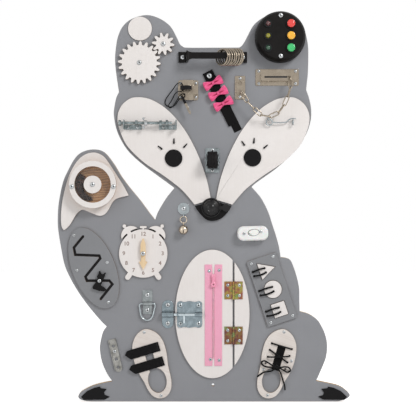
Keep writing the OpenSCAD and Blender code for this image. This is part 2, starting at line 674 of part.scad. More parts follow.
// ======== the board and what is fixed flat on it
module shape_cord_places() {
    stand(shapes_at, shapes_turn) for (z = concat(triangle_cords, circle_cords, square_cords))
        translate([cord_left, z, 0]) children();
}
module board_panel() color("#8b8f94") difference() {
    rotate([90, 0, 0]) linear_extrude(board_t) polygon(board_outline);
    translate([0, 1, 0]) rotate([90, 0, 0]) cylinder(d = wall_hole_d, h = board_t + 2);
    pilot_holes(board_screws);
    for (p = pivot_places) stand(p) rod(-screw_bite - 0.5, screw_bite + 1, pivot_r + pilot_slack, $fn = 16);
    shape_cord_places() rod(-cord_tail - 1, cord_tail + 2, shape_cord_d / 2 + cord_hole_slack);
}
module belly_half(side) {
    cut = hinge_x - belly_at[0];
    intersection() {
        translate(belly_at) oval(belly_a, belly_b, 96);
        translate([hinge_x + (side > 0 ? door_gap / 2 : -door_gap / 2 - 2 * belly_a), belly_at[1] - belly_b - 1])
            square([2 * belly_a, 2 * belly_b + 2]);
    }
}
module white_overlays() color("#ece9e6") difference() {
    union() {
        sheet(0, plate_t) polygon(all_at(cheek_points));
        sheet(0, plate_t) polygon(all_at(mirrored(cheek_points, face_axis)));
        sheet(0, plate_t) polygon(all_at(tail_tip_points));
        sheet(0, plate_t) belly_half(1);
        stand(badge_at) rod(0, badge_t, badge_r);
    }
    screw_holes(concat(strip_screws, bracket_screws));
    stand(spinner_at) rod(-1, plate_t + 2, pivot_r + hole_slack);
    for (p = [near_eye, far_eye]) stand(p) rod(-1, plate_t + 2, hook_wire / 2 + hole_slack);
}
module lashes(place, angles) for (a = angles) stand(place, a) slab(plate_t, eye_t)
    polygon([for (p = [[0, -1.3], [0.8, -1.7], [lash_len - 1, -1], [lash_len, 0], [lash_len - 1, 1], [0.8, 1.7],
        [0, 1.3]]) p + [lash_start, 0]]);
module black_overlays() color("#1b1b1d") {
    for (p = [eye_left_at, eye_right_at]) stand(p) rod(plate_t, eye_t, eye_r);
    lashes(eye_left_at, lashes_left);
    lashes(eye_right_at, lashes_right);
    sheet(0, plate_t) polygon(all_at(nose_points));
    sheet(0, eye_t) polygon(all_at(paw_points));
    sheet(0, eye_t) polygon(all_at(mirrored(paw_points, paw_axis)));
}
module screws() color("#c9ccd0") {
    screw_set(concat(strip_screws, keeper_screws, handle_screws, light_screws, lock_screws, strap_screws,
        track_screws, anchor_screws, bracket_screws, caster_screws, maze_screws, jingle_screws, lash_screws,
        switch_screws, shape_screws, left_shoe_screws, right_shoe_screws, channel_screws));
    for (s = concat(gear_screws, spinner_screws, clock_screws)) one_screw(s[0], s[1], s[2], pivot_r);
}

// ======== gears
module gear(teeth, phase) {
    pitch_r = gear_module * teeth / 2;
    step = 360 / teeth;
    polygon([for (k = [0 : teeth - 1]) for (q = [[-1.32, -0.35], [-0.6, -0.27], [0, -0.2], [0.46, -0.12],
        [0.6, -0.05], [0.6, 0.05], [0.46, 0.12], [0, 0.2], [-0.6, 0.27], [-1.32, 0.35]])
        polar(pitch_r + q[0] * gear_module, phase + (k + q[1]) * step)]);
}
module gear_wheel(place, teeth, phase) stand(place) difference() {
    slab(gap, gear_t) gear(teeth, phase);
    rod(0, gear_t + 2, pivot_r + run_fit);
}
module gear_large() color("#f0eeeb") gear_wheel(gear_large_at, 2 * small_teeth, gear_large_phase);
module gear_small() color("#f0eeeb") gear_wheel(gear_small_at, small_teeth, gear_small_phase);

// ======== pull handle with its rings
module half_handle_side() {
    foot = handle_cc / 2;
    top = handle_reach + grip_t;
    polygon(concat([[-foot - foot_w / 2, 0], [-foot - foot_w / 2, foot_t]],
        run([[-foot + 5, foot_t], [-foot + 6, foot_t + 4], [-foot + 7.4, top - 7], [-foot + 9.6, top - 1.8],
            [-foot + 13, top]], 4), [[-foot + 13, top], [0.1, top], [0.1, handle_reach]],
        run([[-foot + 17, handle_reach], [-foot + 14, handle_reach - 1.4], [-foot + 12.6, handle_reach - 5],
            [-foot + 11, 5], [-foot + 10.5, 0]], 4), [[-foot + 10.5, 0]]));
}
module half_handle_front() {
    foot = handle_cc / 2;
    polygon(concat([[-foot - foot_w / 2, -foot_h / 2], [-foot - foot_w / 2, foot_h / 2], [-foot + foot_w / 2, foot_h / 2]],
        run([[-foot + foot_w / 2, foot_h / 2], [-foot + 12.5, grip_h / 2 + 1.4], [-foot + 18, grip_h / 2]], 4),
        [[-foot + 18, grip_h / 2], [0.1, grip_h / 2], [0.1, -grip_h / 2]],
        run([[-foot + 18, -grip_h / 2], [-foot + 12.5, -grip_h / 2 - 1.4], [-foot + foot_w / 2, -foot_h / 2]], 4)));
}
module half_handle() intersection() {
    translate([0, foot_h, 0]) rotate([90, 0, 0]) linear_extrude(2 * foot_h) half_handle_side();
    slab(-1, handle_reach + grip_t + 2) half_handle_front();
}
module pull_handle() color("#1d1d1f") difference() {
    stand(handle_at) {
        half_handle();
        mirror([1, 0, 0]) half_handle();
    }
    screw_holes(handle_screws);
}
module handle_rings() color("#c8bfae") for (i = [0 : ring_count - 1])
    stand(handle_at) translate([ring_first + i * ring_pitch + ring_lean * cos(ring_tilt), -ring_drop,
        handle_reach + grip_t / 2 + ring_lean * sin(ring_tilt)])
        rotate([0, -90 + ring_tilt, 0]) rotate([0, 0, 90]) torus(ring_d / 2 - ring_wire / 2, ring_wire);

// ======== light box
module light_case() color("#161618") difference() {
    union() {
        stand(light_at) difference() {
            rotate_extrude(convexity = 4, $fn = 96) polygon([[light_r - light_wall, 0], [light_r, 0],
                [light_r, light_depth * 0.5], [light_r - 1.2, light_depth * 0.78], [light_face_r, light_depth],
                [0, light_depth], [0, light_depth - light_face_t], [light_face_r - 3, light_depth - light_face_t],
                [light_r - light_wall - 1, light_depth * 0.7], [light_r - light_wall, light_depth * 0.5]]);
            for (z = light_rows) {
                translate([lamp_x, z, 0]) cylinder(r = lens_r + 1.3, h = 2 * light_depth);
                translate([button_x, z, 0]) cylinder(r = button_r + button_slack, h = 2 * light_depth);
            }
        }
        stand(light_at) {
            for (z = light_rows) translate([button_x, z, 0]) difference() {
                rod(light_depth - 0.1, bezel_t + 0.1, bezel_r);
                rod(light_depth - 1, bezel_t + 2, button_r + button_slack);
            }
            for (s = [-1, 1]) translate([0, s * light_screw_z, 0]) rod(0, light_depth - 1, boss_r);
        }
    }
    screw_holes(light_screws);
}
module lamp_board() color("#c22828") stand(light_at) {
    translate([-26, -15, 0]) cube([52, 30, battery_t]);
    slab(battery_t + seam, circuit_t - 2 * seam) difference() {
        pill(66, 62, 8);
        for (s = [-1, 1]) translate([0, s * light_screw_z]) circle(boss_r + 3.4);
    }
    for (z = light_rows) translate([lamp_x, z, 0]) {
        rod(battery_t + circuit_t, light_depth - battery_t - circuit_t + 0.2, lens_r + 1);
        rod(light_depth, bezel_t, lens_r + 3.4);
        intersection() {
            translate([0, 0, light_depth + bezel_t - 1]) sphere(lens_r);
            rod(light_depth, 2 * lens_r, 2 * lens_r);
        }
    }
}
module push_button(z) stand(light_at) translate([button_x, z, 0]) {
    rod(light_depth - light_face_t - gap - button_flange_t, button_flange_t, button_r + 2);
    rod(light_depth - light_face_t - gap - 0.2, light_face_t + gap + bezel_t + button_travel + 0.7, button_r);
    rod(light_depth + bezel_t + button_travel, 1.1, button_r - 1.2);
}
module button_red() color("#d8291f") push_button(light_rows[0]);
module button_yellow() color("#e0a51c") push_button(light_rows[1]);
module button_green() color("#219a4a") push_button(light_rows[2]);

// ======== cupboard lock with its keys
module lock_plate() color("#b9b0a0") difference() {
    stand(lock_at) difference() {
        union() {
            slab(0, lock_base_t) pill(lock_w, lock_w, 4);
            slab(lock_base_t - 0.1, lock_h - lock_base_t + 0.1) difference() {
                pill(lock_w, lock_w, 4);
                for (p = corners(lock_w / 2, lock_w / 2)) translate(p)
                    pill(2 * (lock_w / 2 - lock_screw_x + small_screw_r + 1.5),
                        2 * (lock_w / 2 - lock_screw_z + small_screw_r + 1.5), 2);
            }
            translate(core_at - lock_at) rod(lock_h - 0.1, 2.6, collar_r);
        }
        translate(core_at - lock_at) rod(core_back, 2 * lock_h, core_r + run_fit);
    }
    screw_holes(lock_screws);
}
core_top = lock_h + 2.5;
module lock_core() color("#8f8a7c") stand(core_at) {
    difference() {
        rod(core_back + gap, core_top - core_back - gap + 0.4, core_r);
        translate([-key_blade_w / 2 - 0.2, -key_blade_t / 2 - 0.2, core_top - 6]) cube([key_blade_w + 0.4, key_blade_t + 0.4, 8]);
    }
    translate([-key_blade_w / 2, -key_blade_t / 2, core_top - 5.8]) cube([key_blade_w, key_blade_t, key_out + 6]);
    difference() {
        translate([0, 0, core_top + key_out + key_bow_h / 2]) rotate([90, 0, 0])
            linear_extrude(key_bow_t, center = true) pill(key_bow_w, key_bow_h, 5);
        translate([-key_bow_w / 2 + 4.6, key_bow_t, core_top + key_out + key_bow_h / 2]) rotate([90, 0, 0])
            cylinder(r = key_cord_d / 2 + 1, h = 3 * key_bow_t);
    }
}
module key_cord() color("#141415") tube(concat(run(cord_route, 3), [cord_route[len(cord_route) - 1]]), key_cord_d);
module spare_key() color("#a59c88") stand(spare_at, spare_turn) {
    difference() {
        translate([0, -spare_head_len / 2 + 3, spare_lift]) rotate([0, 90, 0])
            linear_extrude(spare_head_w, center = true) pill(spare_head_depth, spare_head_len, 3.5);
        translate([0, 0, spare_lift]) rotate([0, 90, 0]) cylinder(r = key_cord_d / 2 + 1, h = 2 * spare_head_w, center = true);
    }
    translate([0, -spare_head_len + 3.2, spare_lift]) linear_extrude(2.2, center = true)
        polygon([[-2.2, 0], [2.6, 0], [2.6, -5], [1.2, -7], [2.6, -9], [2.6, -12], [0.8, -14], [2.2, -16],
            [2.2, -19], [0.6, -spare_blade_len], [-1, -spare_blade_len], [-2.2, -20]]);
}

// ======== webbing strap and bows
module webbing() color("#171718") {
    difference() {
        stand(strap_at, strap_turn) {
            translate([-strap_w / 2, -strap_len, web_t]) cube([strap_w, strap_len + strap_top, web_t]);
            translate([strap_w / 2 - lower_strap_w, -lower_strap_len, 0]) cube([lower_strap_w, lower_strap_len + strap_top, web_t - seam]);
        }
        screw_holes(strap_screws);
    }
    stand([2 * shoe_axis - slot_at[0], slot_at[1]], -slot_turn)
        translate([-tongue_w / 2, -slot_down + 3, 0]) cube([tongue_w, slot_down + slot_up - 4, plate_t - 0.6]);
    stand(slot_at, slot_turn) translate([-tongue_w / 2 + 0.5, 4, 0]) cube([tongue_w - 1, slot_up - 5, plate_t - 0.6]);
}
module bow(i) stand(strap_at, strap_turn) translate([0, -bow_first - i * bow_pitch, strap_seat + gap]) {
    half = [[0, 4.2], [5, 4.8], [10, 7.2], [14, 8.6], [bow_w / 2 - 1, 9.2], [bow_w / 2, 5], [bow_w / 2 - 0.6, 0]];
    upper = run(half, 3);
    right = concat(upper, [for (j = [len(upper) - 1 : -1 : 0]) [upper[j][0], -upper[j][1]]]);
    linear_extrude(bow_t) polygon(concat(right, [for (p = right) -p]));
}
module bow_1() color("#e8417c") bow(0);
module bow_2() color("#e8417c") bow(1);
module bow_3() color("#e8417c") bow(2);

// ======== door chain
module ring_eye(place, lift, turn) stand(place, turn) translate([0, 0, lift])
    rotate([0, 90, 0]) torus(eye_ring_r, chain_wire);
module chain_plates() color("#c6bda9") {
    difference() {
        stand(track_at) difference() {
            union() {
                slab(0, track_t) pill(track_w, track_h, 2.5);
                slab(track_t - 0.1, channel_out - track_t + 0.1) pill(slot_len + 13, channel_h, 3);
            }
            translate([-slot_len / 2 - 4.5, -5.5, -1]) cube([slot_len + 9, 11, channel_out - 0.5]);
            slab(-1, channel_out + 2) pill(slot_len, slot_h, slot_h / 2 - 0.01);
        }
        screw_holes(track_screws);
    }
    stand(track_at) translate([slider_x, 0, 0]) {
        rod(3.2, 1.6, 4.6);
        rod(4.7, chain_lift - 3.7, 1.45);
    }
    ring_eye(chain_end + [-0.5, eye_reach], chain_lift, 0);
    difference() {
        stand(anchor_at) {
            slab(0, track_t) pill(anchor_w, anchor_h, 2);
            slab(track_t - 0.1, 4.5) translate([0, 1]) pill(anchor_w - 5, anchor_h - 21, 3);
            translate([0.6, -9.4, 0]) rod(1, chain_lift - 1, 1.6);
        }
        stand(anchor_at) translate([0, 7.6, 1]) cylinder(r = 4, h = 20);
        screw_holes(anchor_screws);
    }
    ring_eye(chain_start - eye_reach * first_link / norm(first_link), chain_lift,
        atan2(first_link[1], first_link[0]) + 90);
}
module chain_link(a, b, twist) {
    bow_r = link_w / 2 - chain_wire / 2;
    side = norm(b - a) / 2 + (chain_wire + link_slack) / 2 - bow_r;
    outline = concat([for (t = [-90 : 22.5 : 90]) [side, 0] + polar(bow_r, t)],
        [for (t = [90 : 22.5 : 270]) [-side, 0] + polar(bow_r, t)]);
    stand((a + b) / 2, atan2(b[1] - a[1], b[0] - a[0])) translate([0, 0, chain_lift]) rotate([twist, 0, 0])
        wire_loop(outline, chain_wire);
}
module door_chain() color("#bfb6a3") for (i = [0 : len(chain_nodes) - 2])
    chain_link(chain_nodes[i], chain_nodes[i + 1], i % 2 == 0 ? 12 : 102);

// ======== threaded rod, brackets, nuts
module hex_nut(x) stand(rod_at) translate([x, 0, plate_t + rod_lift]) rotate([0, 90, 0]) difference() {
    cylinder(r = nut_r, h = nut_t, center = true, $fn = 6);
    cylinder(d = rod_d + 0.2, h = 2 * nut_t, center = true);
}
module rod_bracket(x, side) difference() {
    stand(rod_at) {
        translate([x, -bracket_drop - bracket_h + 1.5, plate_t]) cube([bracket_w, bracket_h, bracket_t]);
        translate([side < 0 ? x : x + bracket_w - bracket_t, -bracket_drop - bracket_h + 1.5, plate_t])
            cube([bracket_t, bracket_h + bracket_drop + rod_d / 2 + 1.5, rod_lift + rod_d / 2 + 3]);
    }
    stand(rod_at) translate([x - 1, 0, plate_t + rod_lift]) rotate([0, 90, 0])
        cylinder(d = rod_d + 0.3, h = bracket_w + 2);
    screw_holes(bracket_screws);
}
module threaded_rod() color("#aeb4b0") {
    stand(rod_at) translate([-rod_len / 2, 0, plate_t + rod_lift]) rotate([0, 90, 0]) cylinder(d = rod_d, h = rod_len);
    for (x = nut_places) hex_nut(x);
    rod_bracket(bracket_left_x, -1);
    rod_bracket(bracket_right_x, 1);
}
module wing_nut() color("#c3cacc") stand(rod_at) translate([wing_x, 0, plate_t + rod_lift]) rotate([0, 90, 0]) difference() {
    union() {
        cylinder(r = 5, h = 5.4, center = true);
        rotate([0, 0, 90]) for (s = [-1, 1]) translate([s * 6.2, 0, -1.2]) rotate([90, 0, 0])
            linear_extrude(2.2, center = true) polygon([[-s * 2.5, -1.5], [s * 2, -1.5], [s * 4.2, 1], [s * 4.4, -4],
                [s * 2.6, -6.2], [-s * 1, -4]]);
    }
    cylinder(r = rod_d / 2 + run_fit, h = 12, center = true);
}

// ======== screw eyes, gate hook and the hanger of the jingle bell
module screw_eye(place) stand(place) {
    translate([0, 0, hook_lift]) rotate([0, 90, 0]) torus(eye_loop_r, hook_wire);
    rod(0.2, hook_lift - eye_loop_r, hook_wire / 2);
}
module screw_eyes() color("#c6cbcf") {
    screw_eye(near_eye);
    screw_eye(far_eye);
    difference() {
        stand(jingle_at) rod(0, 1.5, jingle_washer_r);
        screw_holes(jingle_screws);
    }
    stand(jingle_at) {
        translate([-1, -jingle_eye_drop - 1, 0.2]) cube([2, 5, jingle_lift - jingle_eye_r]);
        translate([0, -jingle_eye_drop, jingle_lift]) rotate([0, 90, 0]) torus(jingle_eye_r, 1.6);
    }
}
module gate_hook() color("#c6cbcf") stand(hook_at) translate([0, 0, hook_lift]) {
    torus(hook_ring_r, hook_wire);
    tube(curve([[hook_ring_r, 0, 0], [15, -1, 0], [27, -0.7, 0], [33, 0.4, 0], [37.5, 4.4, 0],
        [40.5, hook_step - 0.6, 0], [hook_len - 3, hook_step, 0], [hook_len + 3.5, hook_step, 0]], 3), hook_wire, 12);
}

// ======== fixed caster
module caster_bracket() color("#b9bec2") {
    difference() {
        stand(caster_at) {
            slab(0, caster_t) pill(caster_base_w, caster_base_h, 2);
            for (x = [-caster_w / 2 - 2.6, caster_w / 2 + 1]) translate([x, -11, 0]) cube([1.6, 22, caster_lift]);
            for (x = [-caster_w / 2 - 2.6, caster_w / 2 + 1]) translate([x, 0, caster_lift]) rotate([0, 90, 0])
                cylinder(r = 11, h = 1.6);
        }
        screw_holes(caster_screws);
        stand(caster_at) translate([-caster_w, 0, caster_lift]) rotate([0, 90, 0]) cylinder(d = axle_d + 0.2, h = 2 * caster_w);
    }
    stand(caster_at) translate([-caster_w / 2 - 5, 0, caster_lift]) rotate([0, 90, 0]) {
        cylinder(d = axle_d, h = caster_w + 10);
        cylinder(d = axle_d + 3, h = 2);
        translate([0, 0, caster_w + 8]) cylinder(d = axle_d + 3, h = 2);
    }
}
module caster_wheel() color("#222224") stand(caster_at) translate([0, 0, caster_lift]) rotate([0, 90, 0]) difference() {
    rotate_extrude(convexity = 2) {
        half = caster_w / 2;
        polygon([[1, -half], [caster_d / 2 - 1.6, -half], [caster_d / 2, -half + 1.6], [caster_d / 2, half - 1.6],
            [caster_d / 2 - 1.6, half], [1, half]]);
    }
    cylinder(r = axle_d / 2 + run_fit, h = 2 * caster_w, center = true);
}

// ======== bicycle bell on the nose
lever_base = plate_t + bell_base_t;
dome_base = lever_base + 2 * gap + lever_t;
module bell_housing() color("#19191b") stand(bell_at) {
    rod(plate_t, bell_base_t, bell_base_r);
    rod(lever_base - 0.1, dome_base - lever_base + 2.2, bell_post_r);
    translate([0, 0, dome_base]) rotate_extrude(convexity = 3) polygon([[0, 2.2], [bell_r - 4, 2.2], [bell_r - 2, 0],
        [bell_r, 0], [bell_r, 2], [bell_r - 2.2, 5.6], [bell_r - 4.8, 8], [10.2, 8.4], [9.6, 10.2], [6.5, 11.2], [0, 11.6]]);
}
module bell_lever() color("#1b1b1d") stand(bell_at) difference() {
    slab(lever_base + gap, lever_t) {
        circle(bell_post_r + 4);
        translate([0, -3.5]) square([lever_reach, 7]);
        translate([lever_reach, 0]) circle(thumb_r);
    }
    rod(0, 40, bell_post_r + run_fit);
}

// ======== seed spinner on the tail
module spinner_case() color("#c9a377") stand(spinner_at) translate([0, 0, plate_t + gap]) {
    difference() {
        rod(0, spinner_depth - spinner_front, spinner_r - 1);
        rod(spinner_floor, spinner_depth, window_r + 0.8);
        rod(-1, spinner_depth, pivot_r + run_fit);
    }
    difference() {
        rod(spinner_floor - 0.1, spinner_depth - spinner_front - window_t - spinner_floor + 0.1, hub_r - 3);
        rod(-1, spinner_depth, pivot_r + run_fit);
    }
    difference() {
        rod(spinner_depth - spinner_front + seam, spinner_front - seam, spinner_r);
        rod(spinner_depth - spinner_front - 1, spinner_front + 2, window_r);
    }
    difference() {
        rod(spinner_depth - spinner_front, spinner_front, hub_r);
        rod(0, spinner_depth + 2, pivot_r + run_fit);
    }
    for (a = ear_angles) rotate([0, 0, a]) translate([ear_screw_r, 0, spinner_depth + seam])
        screw_head(screw_r);
}
module spinner_window() color("#dfe8ea", 0.4) stand(spinner_at) difference() {
    rod(plate_t + gap + spinner_depth - spinner_front - window_t, window_t, window_r + 0.5);
    rod(0, 2 * spinner_depth, pivot_r + run_fit + 0.3);
}
module spinner_seeds() color("#3a2a22") stand(spinner_at) translate([0, 0, plate_t + gap + spinner_floor + 0.3])
    linear_extrude(spinner_depth - spinner_front - window_t - spinner_floor - 0.9)
        polygon(concat([for (a = [132 : 6 : 282]) polar(window_r - 0.2, a)],
            [for (a = [264 : -6 : 180]) polar(hub_r + 6 * (a - 180) / 84 + 0.4, a)],
            [for (a = [168 : -12 : 144]) polar(hub_r + 0.6, a)]));

// ======== maze with its cat
// the two sides of the groove are the path moved out by half its width, mitred at each bend
function normal_of(d) = [-d[1], d[0]] / norm(d);
function side_point(p, i, r) = let (n = len(p) - 1, a = normal_of(p[max(i, 1)] - p[max(i, 1) - 1]),
    b = normal_of(p[min(i, n - 1) + 1] - p[min(i, n - 1)])) p[i] + r * (a + b) / (1 + a * b);
module maze_groove(r) {
    n = len(maze_path) - 1;
    first = maze_path[0] - maze_path[1];
    last = maze_path[n] - maze_path[n - 1];
    polygon(concat([for (i = [0 : n]) side_point(maze_path, i, r)],
        [for (a = [-1, 0, 1]) maze_path[n] + polar(r, atan2(last[1], last[0]) - a * 45)],
        [for (i = [n : -1 : 0]) side_point(maze_path, i, -r)],
        [for (a = [-1, 0, 1]) maze_path[0] + polar(r, atan2(first[1], first[0]) - a * 45)]));
}
module maze_plate() color("#a4a7aa") difference() {
    stand(maze_at, maze_turn) slab(0, plate_t) oval(maze_b, maze_a);
    sheet(-1, plate_t + 2) maze_groove(groove_w / 2);
    screw_holes(maze_screws);
}
module maze_cat() color("#151516") stand(cat_at) {
    difference() {
        slab(plate_t + gap, cat_t) polygon(loop(cat_points, 3));
        rod(0, 20, cat_rider_r + seam);
    }
    rod(gap, plate_t + cat_t + 0.2, cat_rider_r);
    translate([0, 0, plate_t + gap + cat_t + seam]) screw_head(0.8 * screw_r);
}

// ======== clock
module clock_outline() {
    difference() {
        for (a = [55.3, 124.7]) {
            translate(polar(clock_bell_out, a)) circle(clock_bell_r);
            translate(polar(clock_bell_out + clock_bell_r + 3.4, a)) circle(3.5);
            rotate(a) translate([clock_bell_out + clock_bell_r - 2, -1.2]) square([4, 2.4]);
        }
        circle(dial_r + clock_slot);
    }
    circle(dial_r);
    for (a = [55.3, 124.7]) rotate(a) translate([dial_r - 2, -4.2]) square([clock_slot + 3, 8.4]);
    translate([-1.6, dial_r - 1]) square([3.2, 4]);
    translate([0, dial_r + 4]) pill(13, 4.4, 1.6);
    for (a = [-57, -123]) rotate(a) {
        translate([dial_r - 3, -5]) square([11, 10]);
        translate([dial_r + 8, 0]) circle(5);
    }
}
module clock_plate() color("#efece8") difference() {
    stand(clock_at) slab(0, plate_t) clock_outline();
    stand(clock_at) rod(-1, plate_t + 2, pivot_r + hole_slack);
}
module hand(level, shape) stand(clock_at) difference() {
    slab(plate_t + gap + level * (hand_t + gap), hand_t) polygon(shape);
    rod(0, 40, pivot_r + run_fit);
}
hand_w = 4.9;
module minute_hand() color("#e3c092") hand(0, concat([for (a = [0 : 15 : 180]) polar(hand_w, a)],
    [[-4.1, -4], [-4.1, -15], [-7.5, -15.5], [-7.5, -17], [0, -minute_len], [7.5, -17], [7.5, -15.5], [4.1, -15], [4.1, -4]]));
module hour_hand() color("#e3c092") hand(1, concat([for (a = [180 : 15 : 360]) polar(hand_w, a)],
    [[hand_w, 17], [3.6, 21.6], [0.8, hour_len], [-0.8, hour_len], [-3.6, 21.6], [-hand_w, 17]]));

// ======== jingle bell and lashing ring
module jingle_bell() color("#c9cdd1") stand(jingle_at) translate([0, 0, jingle_lift]) {
    translate([0, jingle_ring_z, 0]) torus(jingle_ring_r, 2);
    translate([0, jingle_bell_z, 0]) difference() {
        sphere(jingle_r);
        sphere(jingle_r - 1);
        translate([-0.9, -jingle_r - 1, -jingle_r - 1]) cube([1.8, jingle_r + 0.5, 2 * jingle_r + 2]);
    }
    translate([0, jingle_bell_z + 3.5 - jingle_r, 0]) sphere(2.2);
    translate([0, jingle_loop_z, 0]) rotate([0, 90, 0]) torus(jingle_loop_r, 1.4);
}
module lashing_plate() color("#bcc1be") difference() {
    stand(lash_at) difference() {
        union() {
            slab(0, lash_plate_t) translate([0, 14.2]) pill(lash_w, 23, 1.5);
            slab(0, lash_plate_t) translate([0, -10]) pill(lash_w - 2.8, 21, 1.5);
            translate([-lash_w / 2 + 1, -3.6, 0]) cube([lash_w - 2, 7.2, lash_lift]);
            translate([-lash_w / 2 + 1, 0, lash_lift]) rotate([0, 90, 0]) cylinder(r = 3.6, h = lash_w - 2);
        }
        translate([-lash_w, 0, lash_lift]) rotate([0, 90, 0]) cylinder(r = lash_wire / 2 + run_fit, h = 2 * lash_w);
    }
    screw_holes(lash_screws);
}
module d_ring() color("#c8ccc9") stand(lash_at) translate([0, 0, lash_lift])
    wire_loop(concat([[-12.4, 0], [-6, 0], [0, 0], [6, 0], [12.4, 0]], run([[12.4, 0], [15, -2.2], [14.4, -8], [12.6, -15],
        [10.6, -23], [6.5, -29.3], [0, -31.8], [-6.8, -29.6], [-11.4, -24], [-13.4, -16], [-14.4, -8],
        [-15, -2.2], [-12.4, 0]], 2)), lash_wire, 16);

// ======== belly door, hinges, bolt and zip
module knuckles(first) {
    count = 5;
    each_len = hinge_len / count;
    for (i = [first : 2 : count - 1]) translate([0, -hinge_len / 2 + i * each_len + 0.15, pin_lift])
        rotate([-90, 0, 0]) cylinder(r = knuckle_r, h = each_len - 0.3);
}
module hinge_leaf(place, side) stand(place) difference() {
    union() {
        difference() {
            translate([side > 0 ? 0 : -leaf_w, -hinge_len / 2, plate_t]) cube([leaf_w, hinge_len, leaf_t]);
            for (i = [side > 0 ? 1 : 0 : 2 : 4]) translate([-knuckle_r - 0.6, -hinge_len / 2 + i * hinge_len / 5 - 0.15, 0])
                cube([2 * knuckle_r + 1.2, hinge_len / 5 + 0.3, 20]);
        }
        knuckles(side > 0 ? 0 : 1);
    }
    translate([0, -hinge_len, pin_lift]) rotate([-90, 0, 0]) cylinder(r = pin_r + run_fit, h = 2 * hinge_len);
}
module hinge_fixed_leaves() color("#a8953f") {
    difference() {
        for (h = hinge_places) hinge_leaf(h, 1);
        screw_holes(strip_screws);
    }
    for (h = hinge_places) stand(h) translate([0, -hinge_len / 2 - 0.4, pin_lift]) rotate([-90, 0, 0]) {
        cylinder(r = pin_r, h = hinge_len + 0.8);
        cylinder(r = pin_r + 0.5, h = 0.4 - seam);
    }
}
module door_panel() color("#efece9") difference() {
    sheet(gap, plate_t - gap) belly_half(-1);
    for (s = door_screws) stand(s[0]) rod(-1, plate_t + 2, shank(s[2]) + hole_slack);
}
module bolt_plate_outline() {
    half = bolt_plate_h / 2;
    polygon(concat(
        run([[0, half - 7], [1.5, half - 1.8], [7, half], [12.5, half - 1.6], [17, half - 1.2], [24, half],
            [31, half - 1.2], [35.6, half - 1.6], [41, half], [46.8, half - 1.8], [bolt_plate_w, half - 7]], 3),
        run([[bolt_plate_w, 7 - half], [46.8, 1.8 - half], [41, -half], [35.6, 1.6 - half], [31, 1.2 - half],
            [24, -half], [17, 1.2 - half], [12.5, 1.6 - half], [7, -half], [1.5, 1.8 - half], [0, 7 - half]], 3)));
}
module door_fittings() color("#a9adb2") {
    difference() {
        for (h = hinge_places) hinge_leaf(h, -1);
        screw_holes(door_leaf_screws);
    }
    difference() {
        stand([bolt_plate_x, bolt_z]) difference() {
            union() {
                slab(plate_t, bolt_t) bolt_plate_outline();
                translate([0, -bolt_d / 2 - 1.7, plate_t + 0.1]) cube([bolt_plate_w, bolt_d + 3.4, bolt_lift - plate_t]);
                translate([0, 0, bolt_lift]) rotate([0, 90, 0]) cylinder(d = bolt_d + 3.4, h = bolt_plate_w);
            }
            translate([-1, 0, bolt_lift]) rotate([0, 90, 0]) cylinder(d = bolt_d + 2 * run_fit, h = bolt_plate_w + 2);
            translate([bolt_handle_x - bolt_plate_x - bolt_in - bolt_handle_w / 2 - bolt_clear, -bolt_d,
                bolt_lift - bolt_handle_w / 2 - 0.3])
                cube([bolt_in + bolt_back + bolt_handle_w + 2 * bolt_clear, 2 * bolt_d, 10]);
        }
        screw_holes(bolt_screws);
    }
    for (s = door_screws) stand(s[0]) {
        translate([0, 0, s[1] + seam]) screw_head(s[2]);
        rod(gap + 0.3, s[1] - gap - 0.2, shank(s[2]));
    }
}
module bolt_rod() color("#c3c6ca") stand([bolt_tip_x, bolt_z]) translate([0, 0, bolt_lift]) {
    rotate([0, 90, 0]) cylinder(d = bolt_d, h = bolt_plate_w + 1);
    translate([bolt_handle_x - bolt_tip_x - bolt_handle_w / 2, -bolt_d - 10.4, bolt_d / 2 + 1.4])
        cube([bolt_handle_w, bolt_d + 11, 2]);
    translate([bolt_handle_x - bolt_tip_x - bolt_handle_w / 2, -bolt_handle_w / 2, 0]) cube([bolt_handle_w, bolt_handle_w, bolt_d / 2 + 2]);
}
module bolt_keeper() color("#a9adb2") difference() {
    stand([keeper_x + keeper_w / 2, bolt_z]) difference() {
        union() {
            slab(0, bolt_t) pill(keeper_w, bolt_plate_h + 3, keeper_w / 2 - 0.1);
            translate([-keeper_w / 2, -bolt_d / 2 - 3.2, 0]) cube([keeper_w, bolt_d + 6.4, bolt_lift]);
            translate([-keeper_w / 2, 0, bolt_lift]) rotate([0, 90, 0]) cylinder(d = bolt_d + 5, h = keeper_w);
        }
        translate([-keeper_w, 0, bolt_lift]) rotate([0, 90, 0]) cylinder(d = bolt_d + 2 * bolt_clear, h = 2 * keeper_w);
    }
    screw_holes(keeper_screws);
}
module zip_tape() color("#f08db0") difference() {
    stand(zip_at) {
        translate([-zip_w / 2, -zip_len / 2, plate_t]) cube([zip_w / 2 - 2.6, zip_len, zip_t]);
        translate([2.6, -zip_len / 2, plate_t]) cube([zip_w / 2 - 2.6, zip_len, zip_t]);
        for (s = [-1, 1]) translate([s * 1.28 - 1.24, -zip_len / 2 + 14, plate_t])
            cube([2.48, zip_len - 38, zip_t + 0.9]);
    }
    screw_holes(zip_screws);
}
module zip_slider() color("#e77ba2") stand(zip_at + [0, zip_slider_z]) {
    slab(plate_t + zip_t + 0.9 + 0.35, 2.2) polygon([[-4.2, 7], [4.2, 7], [3.4, -6], [-3.4, -6]]);
    slab(plate_t + zip_t + 3.6, 1.6) difference() {
        union() {
            translate([0, -12.6]) circle(5);
            translate([-2.4, -12.6]) square([4.8, 14]);
        }
        translate([0, -13]) circle(1.6);
    }
    translate([-1.6, -3, plate_t + zip_t + 3.2]) cube([3.2, 4, 1]);
}

